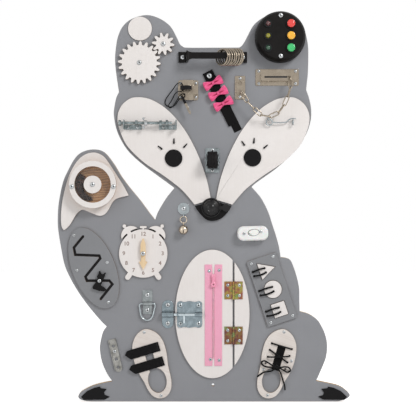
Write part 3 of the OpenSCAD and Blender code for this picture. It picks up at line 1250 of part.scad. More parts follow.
// ======== rocker switch
module switch_body() color("#f1f1ef") difference() {
    stand(switch_at, 1.5) difference() {
        union() {
            slab(0, switch_depth - 2) pill(switch_w, switch_h, switch_h / 2 - 2);
            slab(switch_depth - 2.1, 2.1) pill(switch_w - 3, switch_h - 3, switch_h / 2 - 3.5);
        }
        slab(-1, switch_depth - 2) pill(switch_w - 4, switch_h - 4, switch_h / 2 - 4);
    }
    screw_holes(switch_screws);
    stand(rocker_at, 6) slab(-1, switch_depth + 4) oval(rocker_a + 0.6, rocker_b + 0.6, 40);
}
module switch_rocker() color("#f4f4f2") stand(rocker_at, 6) difference() {
    translate([0, 0, switch_depth - 3]) rotate([90, 0, 0]) linear_extrude(2 * rocker_b, center = true)
        polygon([[-rocker_a, 5.2], [0, 3.8], [rocker_a, 1.4], [rocker_a * 0.9, -3.4], [0, -5], [-rocker_a * 0.9, -2.6]]);
    for (tip = [0, 15]) translate([0, 0, switch_depth - 3]) rotate([0, tip, 0]) slab(-20, 40) difference() {
        square(6 * rocker_a, center = true);
        oval(rocker_a, rocker_b, 40);
    }
}

// ======== shape plate with its three tied shapes
module shape_2d(kind, grow) {
    if (kind == 0) {
        c = triangle_centre;
        polygon([for (p = triangle_points) p + unit(p - c) * 2 * grow]);
    }
    if (kind == 1) translate(circle_centre) circle(circle_r + grow);
    if (kind == 2) translate(square_centre) square(square_side + 2 * grow, center = true);
}
module shape_plate() color("#97999c") difference() {
    stand(shapes_at, shapes_turn) slab(0, plate_t) difference() {
        pill(shape_plate_w, shape_plate_h, 3);
        for (k = [0 : 2]) shape_2d(k, shape_gap);
    }
    screw_holes(shape_screws);
    shape_cord_places() rod(-1, plate_t + 2, shape_cord_d / 2 + cord_hole_slack);
}
module shape_cord(z, right) {
    face = gap + shape_t;
    top = face + 3;
    tube(curve([[cord_left, z, -cord_tail], [cord_left, z, 1], [cord_left, z, plate_t + 1.2],
        [cord_left + 2.6, z, top - 1.6], [cord_left + 8, z, top], [right - 7, z, top], [right - 2.2, z, top - 0.5],
        [right - 0.2, z, top - 2], [right, z, face - 1.6]], 3), shape_cord_d);
}
module tied_shape(kind, cords, right) stand(shapes_at, shapes_turn) {
    difference() {
        slab(gap, shape_t) shape_2d(kind, 0);
        for (z = cords) translate([right, z, gap + shape_t - 2.4]) cylinder(r = shape_cord_d / 2 + 0.4, h = 4);
    }
    for (z = cords) shape_cord(z, right);
}
module shape_triangle() color("#eeebe8") tied_shape(0, triangle_cords, -0.6);
module shape_circle() color("#eeebe8") tied_shape(1, circle_cords, 2);
module shape_square() color("#eeebe8") tied_shape(2, square_cords, 1.7);

// ======== shoes
module shoe_outline() difference() {
    polygon(loop(shoe_points, 4));
    translate(heel_at) rotate(heel_turn) oval(heel_a, heel_b);
    translate(slot_at) rotate(slot_turn) translate([-slot_w / 2, -slot_down]) square([slot_w, slot_down + slot_up]);
}
module shoe_plates() color("#edeae6") {
    difference() {
        sheet(0, plate_t) shoe_outline();
        screw_holes(left_shoe_screws);
    }
    difference() {
        sheet(0, plate_t) translate([2 * shoe_axis, 0]) mirror([1, 0]) shoe_outline();
        screw_holes(right_shoe_screws);
        for (p = concat(eyelets_left, eyelets_right)) stand(p) rod(-1, plate_t + 2, lace_d / 2 + 0.5);
    }
}
module shoe_strap(place) stand(place, shoe_strap_turn) slab(plate_t + gap, shoe_strap_t)
    polygon([[0, -shoe_strap_w / 2], [0, shoe_strap_w / 2], [6 - shoe_strap_len, shoe_strap_w / 2],
        [-shoe_strap_len, 2.2], [9 - shoe_strap_len, -shoe_strap_w / 2]]);
module shoe_strap_upper() color("#161617") shoe_strap(strap_upper_at);
module shoe_strap_lower() color("#161617") shoe_strap(strap_lower_at);
function hole_point(p, lift) = [p[0], -board_t - lift, p[1]];
module lace_run(a, b, lift) tube(curve([hole_point(a, 1), hole_point(a, plate_t + 1), hole_point(a + 0.12 * (b - a), lift),
    hole_point((a + b) / 2, lift + 0.4), hole_point(b + 0.12 * (a - b), lift), hole_point(b, plate_t + 1),
    hole_point(b, 1)], 2), lace_d);
module shoe_lace() color("#171718") {
    lace_run(eyelets_left[0], eyelets_right[0], lace_lift);
    lace_run(eyelets_left[1], eyelets_right[2], lace_lift);
    lace_run(eyelets_left[2], eyelets_right[1], lace_over + 0.4);
    stand(lace_knot) translate([0, 0, plate_t + 5.6]) sphere(d = 7.6, $fn = 24);
    for (p = [lace_bow_left, lace_bow_right]) tube(curve(p, 2), lace_d);
    for (p = [lace_end_left, lace_end_right]) tube(curve(p, 2), lace_d);
}

// ======== turning steel channel
module steel_bar() color("#b5b9bc") stand(channel_at, channel_turn) {
    difference() {
        union() {
            slab(gap, channel_t) channel_outline();
            slab(gap, channel_flange) difference() {
                channel_outline();
                translate([-channel_w / 2 + 1.5, -channel_low - 1]) square([channel_w - 3, channel_low + channel_high + 2]);
            }
        }
        rod(-1, 20, shank(3.4) + run_fit);
        translate([0, 10.8, -1]) cylinder(r = 2.6, h = 20);
        translate([0, -30.8, -1]) cylinder(r = 2.6, h = 20);
        translate([-2.6, -17.4, -1]) cube([5.2, 5.2, 20]);
    }
}
module channel_outline() {
    translate([-channel_w / 2, -channel_low + channel_w / 2]) square([channel_w, channel_low + channel_high - channel_w / 2]);
    translate([0, -channel_low + channel_w / 2]) circle(channel_w / 2);
}

board_panel();
white_overlays();
black_overlays();
screws();
pull_handle();
light_case();
lamp_board();
lock_plate();
webbing();
chain_plates();
threaded_rod();
screw_eyes();
caster_bracket();
bell_housing();
maze_plate();
clock_plate();
lashing_plate();
hinge_fixed_leaves();
bolt_keeper();
switch_body();
shape_plate();
shoe_plates();
shoe_lace();
key_cord();
spare_key();
gear_large();
gear_small();
handle_rings();
button_red();
button_yellow();
button_green();
lock_core();
bow_1();
bow_2();
bow_3();
door_chain();
wing_nut();
gate_hook();
caster_wheel();
bell_lever();
spinner_case();
spinner_window();
spinner_seeds();
maze_cat();
minute_hand();
hour_hand();
jingle_bell();
d_ring();
door_panel();
door_fittings();
bolt_rod();
zip_tape();
zip_slider();
switch_rocker();
shape_triangle();
shape_circle();
shape_square();
shoe_strap_upper();
shoe_strap_lower();
steel_bar();
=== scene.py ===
"""The looks of a wooden busy board: painted plywood figures, hardware, bows, laces and straps.

Lengths are in metres, +Z up, and the front of the board faces -Y.
"""
import math
import random

import bmesh
import bpy
from mathutils import Matrix, Vector


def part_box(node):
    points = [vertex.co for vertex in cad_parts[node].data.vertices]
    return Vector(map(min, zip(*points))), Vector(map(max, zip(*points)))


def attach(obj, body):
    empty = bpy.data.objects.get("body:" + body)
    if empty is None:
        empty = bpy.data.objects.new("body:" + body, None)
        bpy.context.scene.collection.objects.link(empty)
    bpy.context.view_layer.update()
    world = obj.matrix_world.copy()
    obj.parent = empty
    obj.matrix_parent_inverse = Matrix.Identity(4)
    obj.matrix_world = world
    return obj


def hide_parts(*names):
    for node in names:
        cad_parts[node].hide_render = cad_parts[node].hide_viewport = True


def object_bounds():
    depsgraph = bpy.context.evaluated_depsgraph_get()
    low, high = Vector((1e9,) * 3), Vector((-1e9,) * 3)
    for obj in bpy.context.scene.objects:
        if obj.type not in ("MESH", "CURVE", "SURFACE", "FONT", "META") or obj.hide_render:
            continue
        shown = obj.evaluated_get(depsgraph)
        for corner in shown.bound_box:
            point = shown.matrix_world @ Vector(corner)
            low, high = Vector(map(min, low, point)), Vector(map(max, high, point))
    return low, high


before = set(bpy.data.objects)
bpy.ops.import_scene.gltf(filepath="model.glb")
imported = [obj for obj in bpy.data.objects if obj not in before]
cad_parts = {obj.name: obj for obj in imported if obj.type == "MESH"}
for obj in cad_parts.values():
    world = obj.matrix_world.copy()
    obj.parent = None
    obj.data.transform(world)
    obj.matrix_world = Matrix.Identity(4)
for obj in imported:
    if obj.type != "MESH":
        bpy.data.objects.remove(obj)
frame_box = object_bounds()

# ======== Camera
# A short telephoto lens, square on to the board and two metres away, level with the bell at the
# middle of the figure.
mm = 0.001
board_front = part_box("board_panel")[0].y
camera = bpy.data.cameras.new("camera")
camera.sensor_width = 36 * mm * 1000
camera.lens = 90.2
camera_stand = bpy.data.objects.new("camera", camera)
bpy.context.scene.collection.objects.link(camera_stand)
camera_stand.location = (-0.0096, board_front - 2.0, 0.3395)
camera_stand.rotation_euler = (math.radians(90), 0, 0)
bpy.context.scene.camera = camera_stand
bpy.context.scene.view_settings.view_transform = "Standard"

# ======== Cords: the tie of the lock's keys
# A thin black braided cord. It leaves the bow of the key in the lock, hangs in one long loop to the
# left, passes round the head of the spare key, and comes back in a second loop.
def place(x, z, lift):
    """The point x, z of the board, both in millimetres, at a distance off its front face."""
    return Vector((x * mm, board_front - lift * mm, z * mm))


def tone(code):
    """A colour written as six hexadecimal digits, as the linear values that a shader takes."""
    steps = [int(code[i:i + 2], 16) / 255 for i in (0, 2, 4)]
    return [s / 12.92 if s <= 0.04045 else ((s + 0.055) / 1.055) ** 2.4 for s in steps] + [1.0]


def add(tree, kind, sockets=None, **settings):
    """One shader node with its settings, and a link or a value for each named socket."""
    made = tree.nodes.new("ShaderNode" + kind)
    for label, value in settings.items():
        setattr(made, label, value)
    for label, value in (sockets or {}).items():
        if isinstance(value, bpy.types.NodeSocket):
            tree.links.new(value, made.inputs[label])
        else:
            made.inputs[label].default_value = value
    return made


def sums(tree, operation, *values):
    """The result of one step of arithmetic."""
    return add(tree, "Math", dict(enumerate(values)), operation=operation).outputs[0]


def stretch(tree, vector, scale, turn=(0, 0, 0)):
    """A vector made longer or shorter along each axis after a turn."""
    return add(tree, "Mapping", {"Vector": vector, "Rotation": turn, "Scale": scale}).outputs[0]


def cloud(tree, vector, scale, detail=3.0, roughness=0.5):
    """Soft random values between 0 and 1."""
    return add(tree, "TexNoise", {"Vector": vector, "Scale": scale, "Detail": detail,
                                  "Roughness": roughness}).outputs[0]


def between(tree, value, low, high, new_low=0.0, new_high=1.0):
    """A value carried from one range to another and held inside it."""
    return add(tree, "MapRange", {0: value, 1: low, 2: high, 3: new_low, 4: new_high}).outputs[0]


def mixed(tree, share, first, second, way="MIX"):
    """Two colours mixed by a share."""
    return add(tree, "Mix", {0: share, 6: first, 7: second}, data_type="RGBA", blend_type=way).outputs[2]


def new_effect(name, **given):
    """An empty node group that puts out a colour, a roughness and a height: its tree, inputs, outputs."""
    tree = bpy.data.node_groups.new(name, "ShaderNodeTree")
    tree.interface.new_socket(name="Vector", in_out="INPUT", socket_type="NodeSocketVector")
    for label, value in given.items():
        kind = "NodeSocketColor" if isinstance(value, list) else "NodeSocketFloat"
        made = tree.interface.new_socket(name=label, in_out="INPUT", socket_type=kind)
        made.default_value = value
    for label, kind in (("Colour", "Color"), ("Roughness", "Float"), ("Height", "Float")):
        tree.interface.new_socket(name=label, in_out="OUTPUT", socket_type="NodeSocket" + kind)
    inside = tree.nodes.new("NodeGroupInput").outputs
    outside = tree.nodes.new("NodeGroupOutput").inputs
    return tree, inside, outside


def show(tree, result, colour, roughness, height):
    """What the node group puts out."""
    for label, value in (("Colour", colour), ("Roughness", roughness), ("Height", height)):
        tree.links.new(value, result[label])


def finish(name, effect, relief=0.0002, coords="Object", turn=(0, 0, 0), scale=(1, 1, 1), shader=None,
           **values):
    """A material that lays one effect over a Principled shader, whose plain sockets are in shader."""
    made = bpy.data.materials.new(name)
    made.use_nodes = True
    tree = made.node_tree
    glaze = tree.nodes["Principled BSDF"]
    spot = stretch(tree, add(tree, "TexCoord").outputs[coords], scale, turn)
    laid = add(tree, "Group", {"Vector": spot, **values}, node_tree=effect)
    bump = add(tree, "Bump", {"Height": laid.outputs["Height"], "Distance": relief})
    tree.links.new(laid.outputs["Colour"], glaze.inputs["Base Color"])
    tree.links.new(laid.outputs["Roughness"], glaze.inputs["Roughness"])
    tree.links.new(bump.outputs["Normal"], glaze.inputs["Normal"])
    for label, value in (shader or {}).items():
        glaze.inputs[label].default_value = value
    return made


# Braid: strands that cross each other round the cord, with painted shade in the gaps between them.
braid, given, result = new_effect("braid", Strand=tone("1d1d1f"), Gap=tone("050506"), Around=8.0, Along=80.0)
along_u, around_v, _ = add(braid, "SeparateXYZ", {"Vector": given["Vector"]}).outputs
right_hand = sums(braid, "ADD", sums(braid, "MULTIPLY", along_u, given["Along"]),
                  sums(braid, "MULTIPLY", around_v, given["Around"]))
left_hand = sums(braid, "SUBTRACT", sums(braid, "MULTIPLY", along_u, given["Along"]),
                 sums(braid, "MULTIPLY", around_v, given["Around"]))
crossing = sums(braid, "MULTIPLY", sums(braid, "PINGPONG", right_hand, 0.5),
                sums(braid, "PINGPONG", left_hand, 0.5))
strand_top = between(braid, crossing, 0.0, 0.16)
show(braid, result, mixed(braid, strand_top, given["Gap"], given["Strand"]),
     between(braid, strand_top, 0, 1, 0.85, 0.55), strand_top)
key_cord_braid = finish("key_cord_braid", braid, relief=0.0001, coords="UV", Along=90.0,
                        shader={"Sheen Weight": 0.08, "Specular IOR Level": 0.1})


def fit_out(piece, body, slot, *nodes):
    """The piece rides on its body and stands for its CAD nodes, which are hidden. slot is not used."""
    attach(piece, body)
    if nodes:
        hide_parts(*nodes)
    return piece


def run_through(line, spots, width):
    """The line's one spline runs smoothly through the points, round in section and closed at both ends."""
    line.bevel_depth = width / 2
    line.bevel_resolution = 4
    line.use_fill_caps = True
    points = line.splines[0].bezier_points
    points.add(len(spots) - len(points))
    for point, spot in zip(points, spots):
        point.co = spot
        point.handle_left_type = point.handle_right_type = "AUTO"


def free_line(name, spots, width, body, slot, node, skin):
    """A round cord along the given points: one smooth open spline, closed at both ends."""
    line = bpy.data.curves.new(name, "CURVE")
    line.dimensions = "3D"
    line.resolution_u = 8
    line.splines.new("BEZIER")
    run_through(line, spots, width)
    line.materials.append(skin)
    piece = bpy.data.objects.new(name, line)
    bpy.context.scene.collection.objects.link(piece)
    return fit_out(piece, body, slot, node)


key_cord_route = [place(*p) for p in (
    (-57.4, 567.6, 25), (-57.4, 572.5, 24.6), (-60, 575.8, 22.5), (-64.5, 577.2, 18.5), (-69.5, 575, 13.6),
    (-76, 567, 8), (-85, 555.5, 4.2), (-91, 546, 2.5), (-91.2, 538.5, 2.2), (-86, 534.2, 2.2),
    (-79, 533.4, 2.4), (-72.4, 537.2, 3.6), (-67.2, 543.6, 8), (-62.8, 547.7, 13), (-58.2, 550, 13.9),
    (-54.2, 551.9, 13.8), (-54, 555, 13.6), (-57.8, 556.8, 13.4), (-62.8, 554.4, 12.6), (-68, 547, 10),
    (-73, 539, 7.4), (-78, 533.2, 5.8), (-83.4, 531.8, 5.6), (-84.6, 536.4, 6), (-80, 543.5, 7.5),
    (-76, 551, 10.5), (-71.6, 557.6, 16.5), (-65.6, 560.6, 21.5), (-60.4, 560.6, 24.4), (-57.6, 562.8, 25.1),
    (-57.4, 567.2, 25))]
key_cord_width = 1.9 * mm
key_cord = free_line("key_cord_loop", key_cord_route, key_cord_width, "board", "black_key_cord", "key_cord",
                     key_cord_braid)
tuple(key_cord_route[0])

# ======== Cords: the lace of the right shoe
# A soft black braided lace. Three runs cross between the eyelets, and it is tied in a knot with two
# bows and two loose ends.
plate_t = 4.0
lace_width = 3 * mm
lace_braid = finish("lace_braid", braid, relief=0.00015, coords="UV", Along=40.0, Strand=tone("141415"),
                    shader={"Sheen Weight": 0.1, "Specular IOR Level": 0.1})


def lace_line(name, spots):
    """One visible stretch of the lace, through points given as x, z and distance off the shoe."""
    return free_line(name, [place(x, z, plate_t + lift) for x, z, lift in spots], lace_width, "board",
                     "black_lace_cord", "shoe_lace", lace_braid)


lace_bow_left = lace_line("lace_bow_left", (
    (117, 37.5, 8), (112, 40, 9), (105, 44.5, 8.5), (97, 47.5, 5), (92.5, 43.5, 3), (96, 38.5, 3),
    (104, 35.8, 4.6), (112, 35.4, 5), (117, 35.6, 5)))
lace_bow_right = lace_line("lace_bow_right", (
    (126.4, 35.5, 8), (131, 36, 9), (138, 36.6, 8.5), (146, 33.5, 5), (147.4, 28, 3), (142.5, 25.6, 3),
    (136, 28.6, 4.6), (130.5, 32, 5), (126.2, 33.8, 5)))
lace_end_left = lace_line("lace_end_left", (
    (118.4, 32.6, 5), (113.6, 29, 4), (106, 26.6, 2.4), (98, 25.6, 2), (91, 21.5, 2), (84.4, 16.8, 2)))
lace_end_right = lace_line("lace_end_right", (
    (124.6, 32.2, 5), (128.2, 26, 4), (131.2, 18, 2.4), (134.4, 8, 2), (137, -0.5, 2), (137.6, -9, 2)))

# The three runs across the shoe dip into an eyelet at each end.
eyelets_left = ((112.7, 80.5), (108.7, 68), (105, 54.6))
eyelets_right = ((150.9, 69.2), (146.4, 56), (142.6, 43.7))
run_low = 1.8
run_high = 5.6
for number, (start, end, rise) in enumerate((
        (eyelets_left[0], eyelets_right[0], run_low), (eyelets_left[1], eyelets_right[2], run_low),
        (eyelets_left[2], eyelets_right[1], run_high))):
    near = [s + 0.12 * (e - s) for s, e in zip(start, end)]
    middle = [(s + e) / 2 for s, e in zip(start, end)]
    far = [e + 0.12 * (s - e) for s, e in zip(start, end)]
    lace_line(f"lace_run_{number + 1}", (
        (*start, 1 - plate_t), (*start, 1), (*near, rise), (*middle, rise + 0.4), (*far, rise), (*end, 1),
        (*end, 1 - plate_t)))


# The knot is a turn of the lace pulled tight round itself.
def deselect():
    """Nothing stays selected, so that the next operator acts on the new piece alone."""
    if bpy.context.object and bpy.context.object.mode != "OBJECT":
        bpy.ops.object.mode_set(mode="OBJECT")
    bpy.ops.object.select_all(action="DESELECT")


def choose(piece):
    """One piece is the selected and active one."""
    deselect()
    piece.select_set(True)
    bpy.context.view_layer.objects.active = piece


def settle(piece, name):
    """The piece's turn, scale and place go into its mesh, and it gets its name."""
    choose(piece)
    bpy.ops.object.transform_apply(location=True, rotation=True, scale=True)
    piece.name = name
    return piece


def apply_all(piece):
    """Every modifier is applied, in order."""
    choose(piece)
    for modifier in list(piece.modifiers):
        bpy.ops.object.modifier_apply(modifier=modifier.name)


def joined(pieces, name):
    """Several meshes as one piece."""
    choose(pieces[0])
    for piece in pieces:
        piece.select_set(True)
    bpy.ops.object.join()
    return settle(bpy.context.object, name)


knot_at = place(121.6, 36.5, plate_t + 5.6)
knot_turns = []
for turn, tilt, reach in ((12, 62, 2.5), (-28, 66, 2.4), (80, 8, 2.2)):
    bpy.ops.mesh.primitive_torus_add(major_segments=24, minor_segments=10, major_radius=reach * mm,
                                     minor_radius=lace_width / 2, location=knot_at,
                                     rotation=(math.radians(90 - tilt), 0, math.radians(turn)))
    knot_turns.append(bpy.context.object)
lace_knot = joined(knot_turns, "lace_knot")
lace_knot.data.materials.append(lace_braid)
bpy.ops.object.shade_smooth()
fit_out(lace_knot, "board", "black_lace_cord", "shoe_lace")

# ======== Stage and lamps
# The board stands on a plain white floor before a white sky. One large soft lamp hangs high on the
# right and a weaker one fills from the left.
white_room = bpy.data.materials.new("white_room")
white_room.use_nodes = True
room = white_room.node_tree
floor_coat = room.nodes["Principled BSDF"]
for label, value in (("Base Color", (0.9, 0.9, 0.9, 1)), ("Roughness", 0.9),
                     ("Emission Color", (1, 1, 1, 1))):
    floor_coat.inputs[label].default_value = value
floor_glow = 0.62
sky_light = 0.42


def in_view(tree):
    """1 for a ray from the camera or off something shiny or clear, and 0 for the light on the scene."""
    ray = add(tree, "LightPath").outputs
    return sums(tree, "MAXIMUM", ray["Is Camera Ray"],
                sums(tree, "MAXIMUM", ray["Is Glossy Ray"], ray["Is Transmission Ray"]))


room.links.new(sums(room, "MULTIPLY", in_view(room), floor_glow), floor_coat.inputs["Emission Strength"])
bpy.ops.mesh.primitive_plane_add(size=8, location=(0, 0, frame_box[0].z - mm))
floor = settle(bpy.context.object, "floor")
floor.data.materials.append(white_room)


def lamp(name, spot, width, power, aim=(0, 0, 0.34)):
    """A square soft lamp that points at the middle of the board."""
    made = bpy.data.lights.new(name, "AREA")
    made.size = width
    made.energy = power
    stand = bpy.data.objects.new(name, made)
    bpy.context.scene.collection.objects.link(stand)
    stand.location = spot
    stand.rotation_euler = (Vector(aim) - Vector(spot)).to_track_quat("-Z", "Y").to_euler()


lamp("key_lamp", (1.5, -1.9, 2.0), 0.8, 42)
lamp("fill_lamp", (-1.9, -1.8, 0.9), 1.6, 10)
air = bpy.data.worlds.new("air")
bpy.context.scene.world = air
air.use_nodes = True
sky = air.node_tree
sky.links.new(between(sky, in_view(sky), 0, 1, sky_light, 1), sky.nodes["Background"].inputs["Strength"])
sky.nodes["Background"].inputs["Color"].default_value = (1, 1, 1, 1)

# ======== Board
# One sheet of 12 mm birch plywood, sawn to the outline of a sitting animal, rounded along its edges
# and rolled with satin grey paint. Its sawn edge stays bare.
weld = 0.004 * mm
flat_within = math.radians(0.6)


def copy_of(mesh, name):
    """A new piece with a copy of a mesh for its own."""
    piece = bpy.data.objects.new(name, mesh.copy())
    bpy.context.scene.collection.objects.link(piece)
    return piece


def modify(piece, kind, **settings):
    """A modifier with its settings."""
    made = piece.modifiers.new(kind.lower(), kind)
    for label, value in settings.items():
        setattr(made, label, value)
    return made


def edit(*steps):
    """Steps of work, each with its settings, on all of the active piece's mesh."""
    bpy.ops.object.mode_set(mode="EDIT")
    bpy.ops.mesh.select_all(action="SELECT")
    for step, settings in steps:
        step(**settings)
    bpy.ops.object.mode_set(mode="OBJECT")


def bare_copy(node, name, whole=True):
    """A copy of one CAD node, its loose triangles joined into whole faces or only into a skin."""
    piece = copy_of(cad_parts[node].data, name)
    choose(piece)
    piece.data.materials.clear()
    if piece.data.has_custom_normals:
        bpy.ops.mesh.customdata_custom_splitnormals_clear()
    edit((bpy.ops.mesh.remove_doubles, {"threshold": weld}))
    for corner in piece.data.vertices:
        corner.co.y = round(corner.co.y / mm, 2) * mm
    edit(*((bpy.ops.mesh.dissolve_limited, {"angle_limit": flat_within}),) * whole)
    return piece


def grouped(left, near):
    """Parts the members of a set into groups that hang together through what near gives for each."""
    while left:
        group, reached = [], [left.pop()]
        while reached:
            one = reached.pop()
            group.append(one)
            joining = near(one) & left
            left -= joining
            reached.extend(joining)
        yield group


def weigh_edges(piece, wanted):
    """The edges that wanted gives for the piece's shape, and no others, take part in a bevel."""
    shape = bmesh.new()
    shape.from_mesh(piece.data)
    layers = shape.edges.layers.float
    weight = layers.get("bevel_weight_edge") or layers.new("bevel_weight_edge")
    for edge in shape.edges:
        edge[weight] = 0
    for edge in wanted(shape):
        edge[weight] = 1
    shape.to_mesh(piece.data)
    shape.free()


def sharp(edge, angle=40):
    """The edge lies between two faces that meet at more than the angle."""
    return len(edge.link_faces) == 2 and edge.calc_face_angle(0) > math.radians(angle)


def ease(piece, width, segments=2, angle=40, shortest=0.0):
    """The piece's sharp edges are rounded, but for rims shorter in all than shortest. In millimetres."""
    def long_rims(shape):
        for rim in grouped({e for e in shape.edges if sharp(e, angle)},
                           lambda edge: {e for v in edge.verts for e in v.link_edges}):
            if sum(e.calc_length() for e in rim) > shortest * mm:
                yield from rim

    weigh_edges(piece, long_rims)
    choose(piece)
    modify(piece, "BEVEL", limit_method="WEIGHT", width=width * mm, segments=segments,
           use_clamp_overlap=False)
    modify(piece, "WEIGHTED_NORMAL", keep_sharp=True)
    bpy.ops.object.shade_smooth_by_angle(angle=math.radians(angle))
    apply_all(piece)
    return piece


def coat(piece, skins, pick=None):
    """The piece's materials. pick gives a face's one from its middle and its normal."""
    for skin in skins:
        piece.data.materials.append(skin)
    for face in piece.data.polygons:
        face.material_index = pick(face.center, face.normal) if pick else 0
    return piece


def dress(node, name, body, slot, skins, pick=None, width=0.25, **edges):
    """A CAD node's own shape with rounded edges, on its body and in its materials. slot is not used."""
    return fit_out(coat(ease(bare_copy(node, name), width, **edges), skins, pick), body, slot, node)


def sawn(middle, normal):
    """The second material is for the faces that a saw leaves, square to the sheet."""
    return 1 if abs(normal.y) < 0.5 else 0


# Painted wood: fine grain that stands up through the paint, and a soft unevenness of the coat.
painted_wood, given, result = new_effect("painted_wood", Paint=tone("8a8b8f"), Shade=tone("828387"),
                                         Grain=0.35)
fibre = cloud(painted_wood, stretch(painted_wood, given["Vector"], (1, 1, 0.035)), 520, 4, 0.6)
blotch = cloud(painted_wood, given["Vector"], 16, 3)
orange_peel = cloud(painted_wood, given["Vector"], 900, 2)
uneven = sums(painted_wood, "ADD",
              sums(painted_wood, "MULTIPLY", between(painted_wood, fibre, 0.35, 0.7), given["Grain"]),
              between(painted_wood, blotch, 0.35, 0.7, 0, 0.4))
show(painted_wood, result, mixed(painted_wood, uneven, given["Paint"], given["Shade"]),
     between(painted_wood, blotch, 0.3, 0.7, 0.42, 0.52),
     sums(painted_wood, "ADD", sums(painted_wood, "MULTIPLY", fibre, given["Grain"]),
          sums(painted_wood, "MULTIPLY", orange_peel, 0.35)))

# Plywood edge: long-grain and end-grain veneers by turns through the thickness, browned by the cutter.
ply_edge, given, result = new_effect("ply_edge", Pale=tone("cfae7e"), Dark=tone("9a7748"), Veneer=1.5 * mm,
                                     Burn=0.0)
depth = add(ply_edge, "SeparateXYZ", {"Vector": given["Vector"]}).outputs[1]
layer = sums(ply_edge, "PINGPONG", sums(ply_edge, "DIVIDE", depth, given["Veneer"]), 1.0)
fibre = cloud(ply_edge, stretch(ply_edge, given["Vector"], (1, 6, 1)), 700, 3, 0.7)
veneer = between(ply_edge, sums(ply_edge, "ADD", layer, sums(ply_edge, "MULTIPLY", fibre, 0.4)), 0.45, 0.9)
char = sums(ply_edge, "MULTIPLY", given["Burn"],
            between(ply_edge, cloud(ply_edge, given["Vector"], 260, 2), 0.2, 0.7, 0.55, 1.0))
wood = mixed(ply_edge, veneer, given["Dark"], given["Pale"])
show(ply_edge, result, mixed(ply_edge, char, wood, tone("4a2f1c")),
     between(ply_edge, fibre, 0.2, 0.8, 0.6, 0.8), fibre)


def paint(name, colour, shade, grain, relief, **more):
    """A coat of paint or stain: its colour, its darker shade, and how far the grain stands up."""
    return finish(name, painted_wood, relief=relief, Paint=tone(colour), Shade=tone(shade), Grain=grain,
                  **more)


grey_paint = paint("grey_paint", "8b8c90", "828387", 0.12, 0.00006)
sawn_birch = finish("sawn_birch", ply_edge, relief=0.0001)
dress("board_panel", "board", "board", "grey_painted_plywood", (grey_paint, sawn_birch), sawn, 0.9,
      segments=3, shortest=100)

# ======== White figures on the board
# Cheeks, tail tip, round badge and the fixed strip of the belly, laser-cut from 4 mm plywood and
# painted white. The laser leaves their edges brown.
white_paint = paint("white_paint", "ebe6e3", "e0d9d4", 0.2, 0.0001)
lasered_edge = finish("lasered_edge", ply_edge, relief=0.0001, Veneer=1.3 * mm, Burn=0.75)
dress("white_overlays", "white_figures", "board", "white_painted_plywood", (white_paint, lasered_edge), sawn,
      shortest=60)

# ======== Eyes, lashes, nose and paws
# Thin plywood cut small and sprayed satin black, glued to the face and to the feet of the board.
black_paint = paint("black_paint", "0e0d0e", "151415", 0.3, 0.00008, shader={"Specular IOR Level": 0.12})
dress("black_overlays", "black_figures", "board", "black_painted_plywood", (black_paint,), width=0.2,
      shortest=8)

# ======== Screws
# Zinc-plated pan-head screws with a cross recess. One is turned and punched, and a copy of it, with
# its slots at an angle of its own, stands at each place.
plated, given, result = new_effect("plated_metal", Metal=tone("b4b7b9"), Tarnish=tone("74736f"), Stain=0.5,
                                   Polish=0.26)
scratch = cloud(plated, stretch(plated, given["Vector"], (1, 1, 0.08), (0.3, 0.2, 0.5)), 2600, 2)
cloudy = cloud(plated, given["Vector"], 120, 4, 0.6)
stained = sums(plated, "MULTIPLY", given["Stain"], between(plated, cloudy, 0.35, 0.7))
show(plated, result, mixed(plated, stained, given["Metal"], given["Tarnish"]),
     sums(plated, "ADD", given["Polish"], between(plated, cloudy, 0.3, 0.7, 0, 0.12)),
     sums(plated, "ADD", scratch, sums(plated, "MULTIPLY", cloudy, 0.5)))
metal_ware = {"Metallic": 1.0}


def metal(name, clean, tarnish, stain, polish, relief=0.00003):
    """Plated metal: its clean and its tarnished colour, how stained it is and how rough."""
    return finish(name, plated, relief=relief, Metal=tone(clean), Tarnish=tone(tarnish), Stain=stain,
                  Polish=polish, shader=metal_ware)


zinc = metal("zinc", "b4b7b9", "74736f", 0.5, 0.26)


def turned(profile, steps=72):
    """A closed profile of distances from the axis and along it, turned on a lathe."""
    deselect()
    bpy.ops.mesh.primitive_circle_add(vertices=len(profile), radius=1)
    piece = bpy.context.object
    for corner, (out, along) in zip(piece.data.vertices, profile):
        corner.co = (out, 0, along)
    modify(piece, "SCREW", steps=steps, render_steps=steps, use_merge_vertices=True, merge_threshold=0.001)
    apply_all(piece)
    edit((bpy.ops.mesh.remove_doubles, {"threshold": 0.001}),
         (bpy.ops.mesh.normals_make_consistent, {"inside": False}))
    bpy.ops.object.shade_smooth_by_angle(angle=math.radians(35))
    return piece


# The pattern screw has a head of radius 1, its seat at 0 and its axis along Y.
head_rise = 0.55
recess_width = 0.3
recess_reach = 0.6
recess_depth = 0.42
pattern_screw = turned(((0, 0), (1, 0), (1, 0.12), (0.95, 0.25), (0.8, 0.37), (0.5, 0.48), (0.2, 0.54),
                        (0, head_rise)), 24)
for turn in (0, 90):
    deselect()
    bpy.ops.mesh.primitive_cube_add(size=1, location=(0, 0, head_rise), rotation=(0, 0, math.radians(turn)),
                                    scale=(2 * recess_reach, recess_width, 2 * recess_depth))
    punch = bpy.context.object
    for corner in punch.data.vertices:
        if corner.co.z < 0:
            corner.co.x *= 0.35
            corner.co.y *= 0.6
    modify(pattern_screw, "BOOLEAN", object=punch, operation="DIFFERENCE")
    apply_all(pattern_screw)
    bpy.data.objects.remove(punch)
# The cross recess is coloured dark: grime, and painted shade where its walls hide it from the light.
grimy_zinc = metal("grimy_zinc", "303234", "161615", 0.8, 0.45)


def in_recess(middle, normal):
    """The second material, dark zinc, is for the walls and the floor of the cross: grime, and painted shade
    in the recess.
    """
    inside = math.hypot(middle.x, middle.y) < recess_reach and middle.z > 0.05
    return 1 if inside and (abs(normal.z) < 0.6 or middle.z < 0.3) else 0


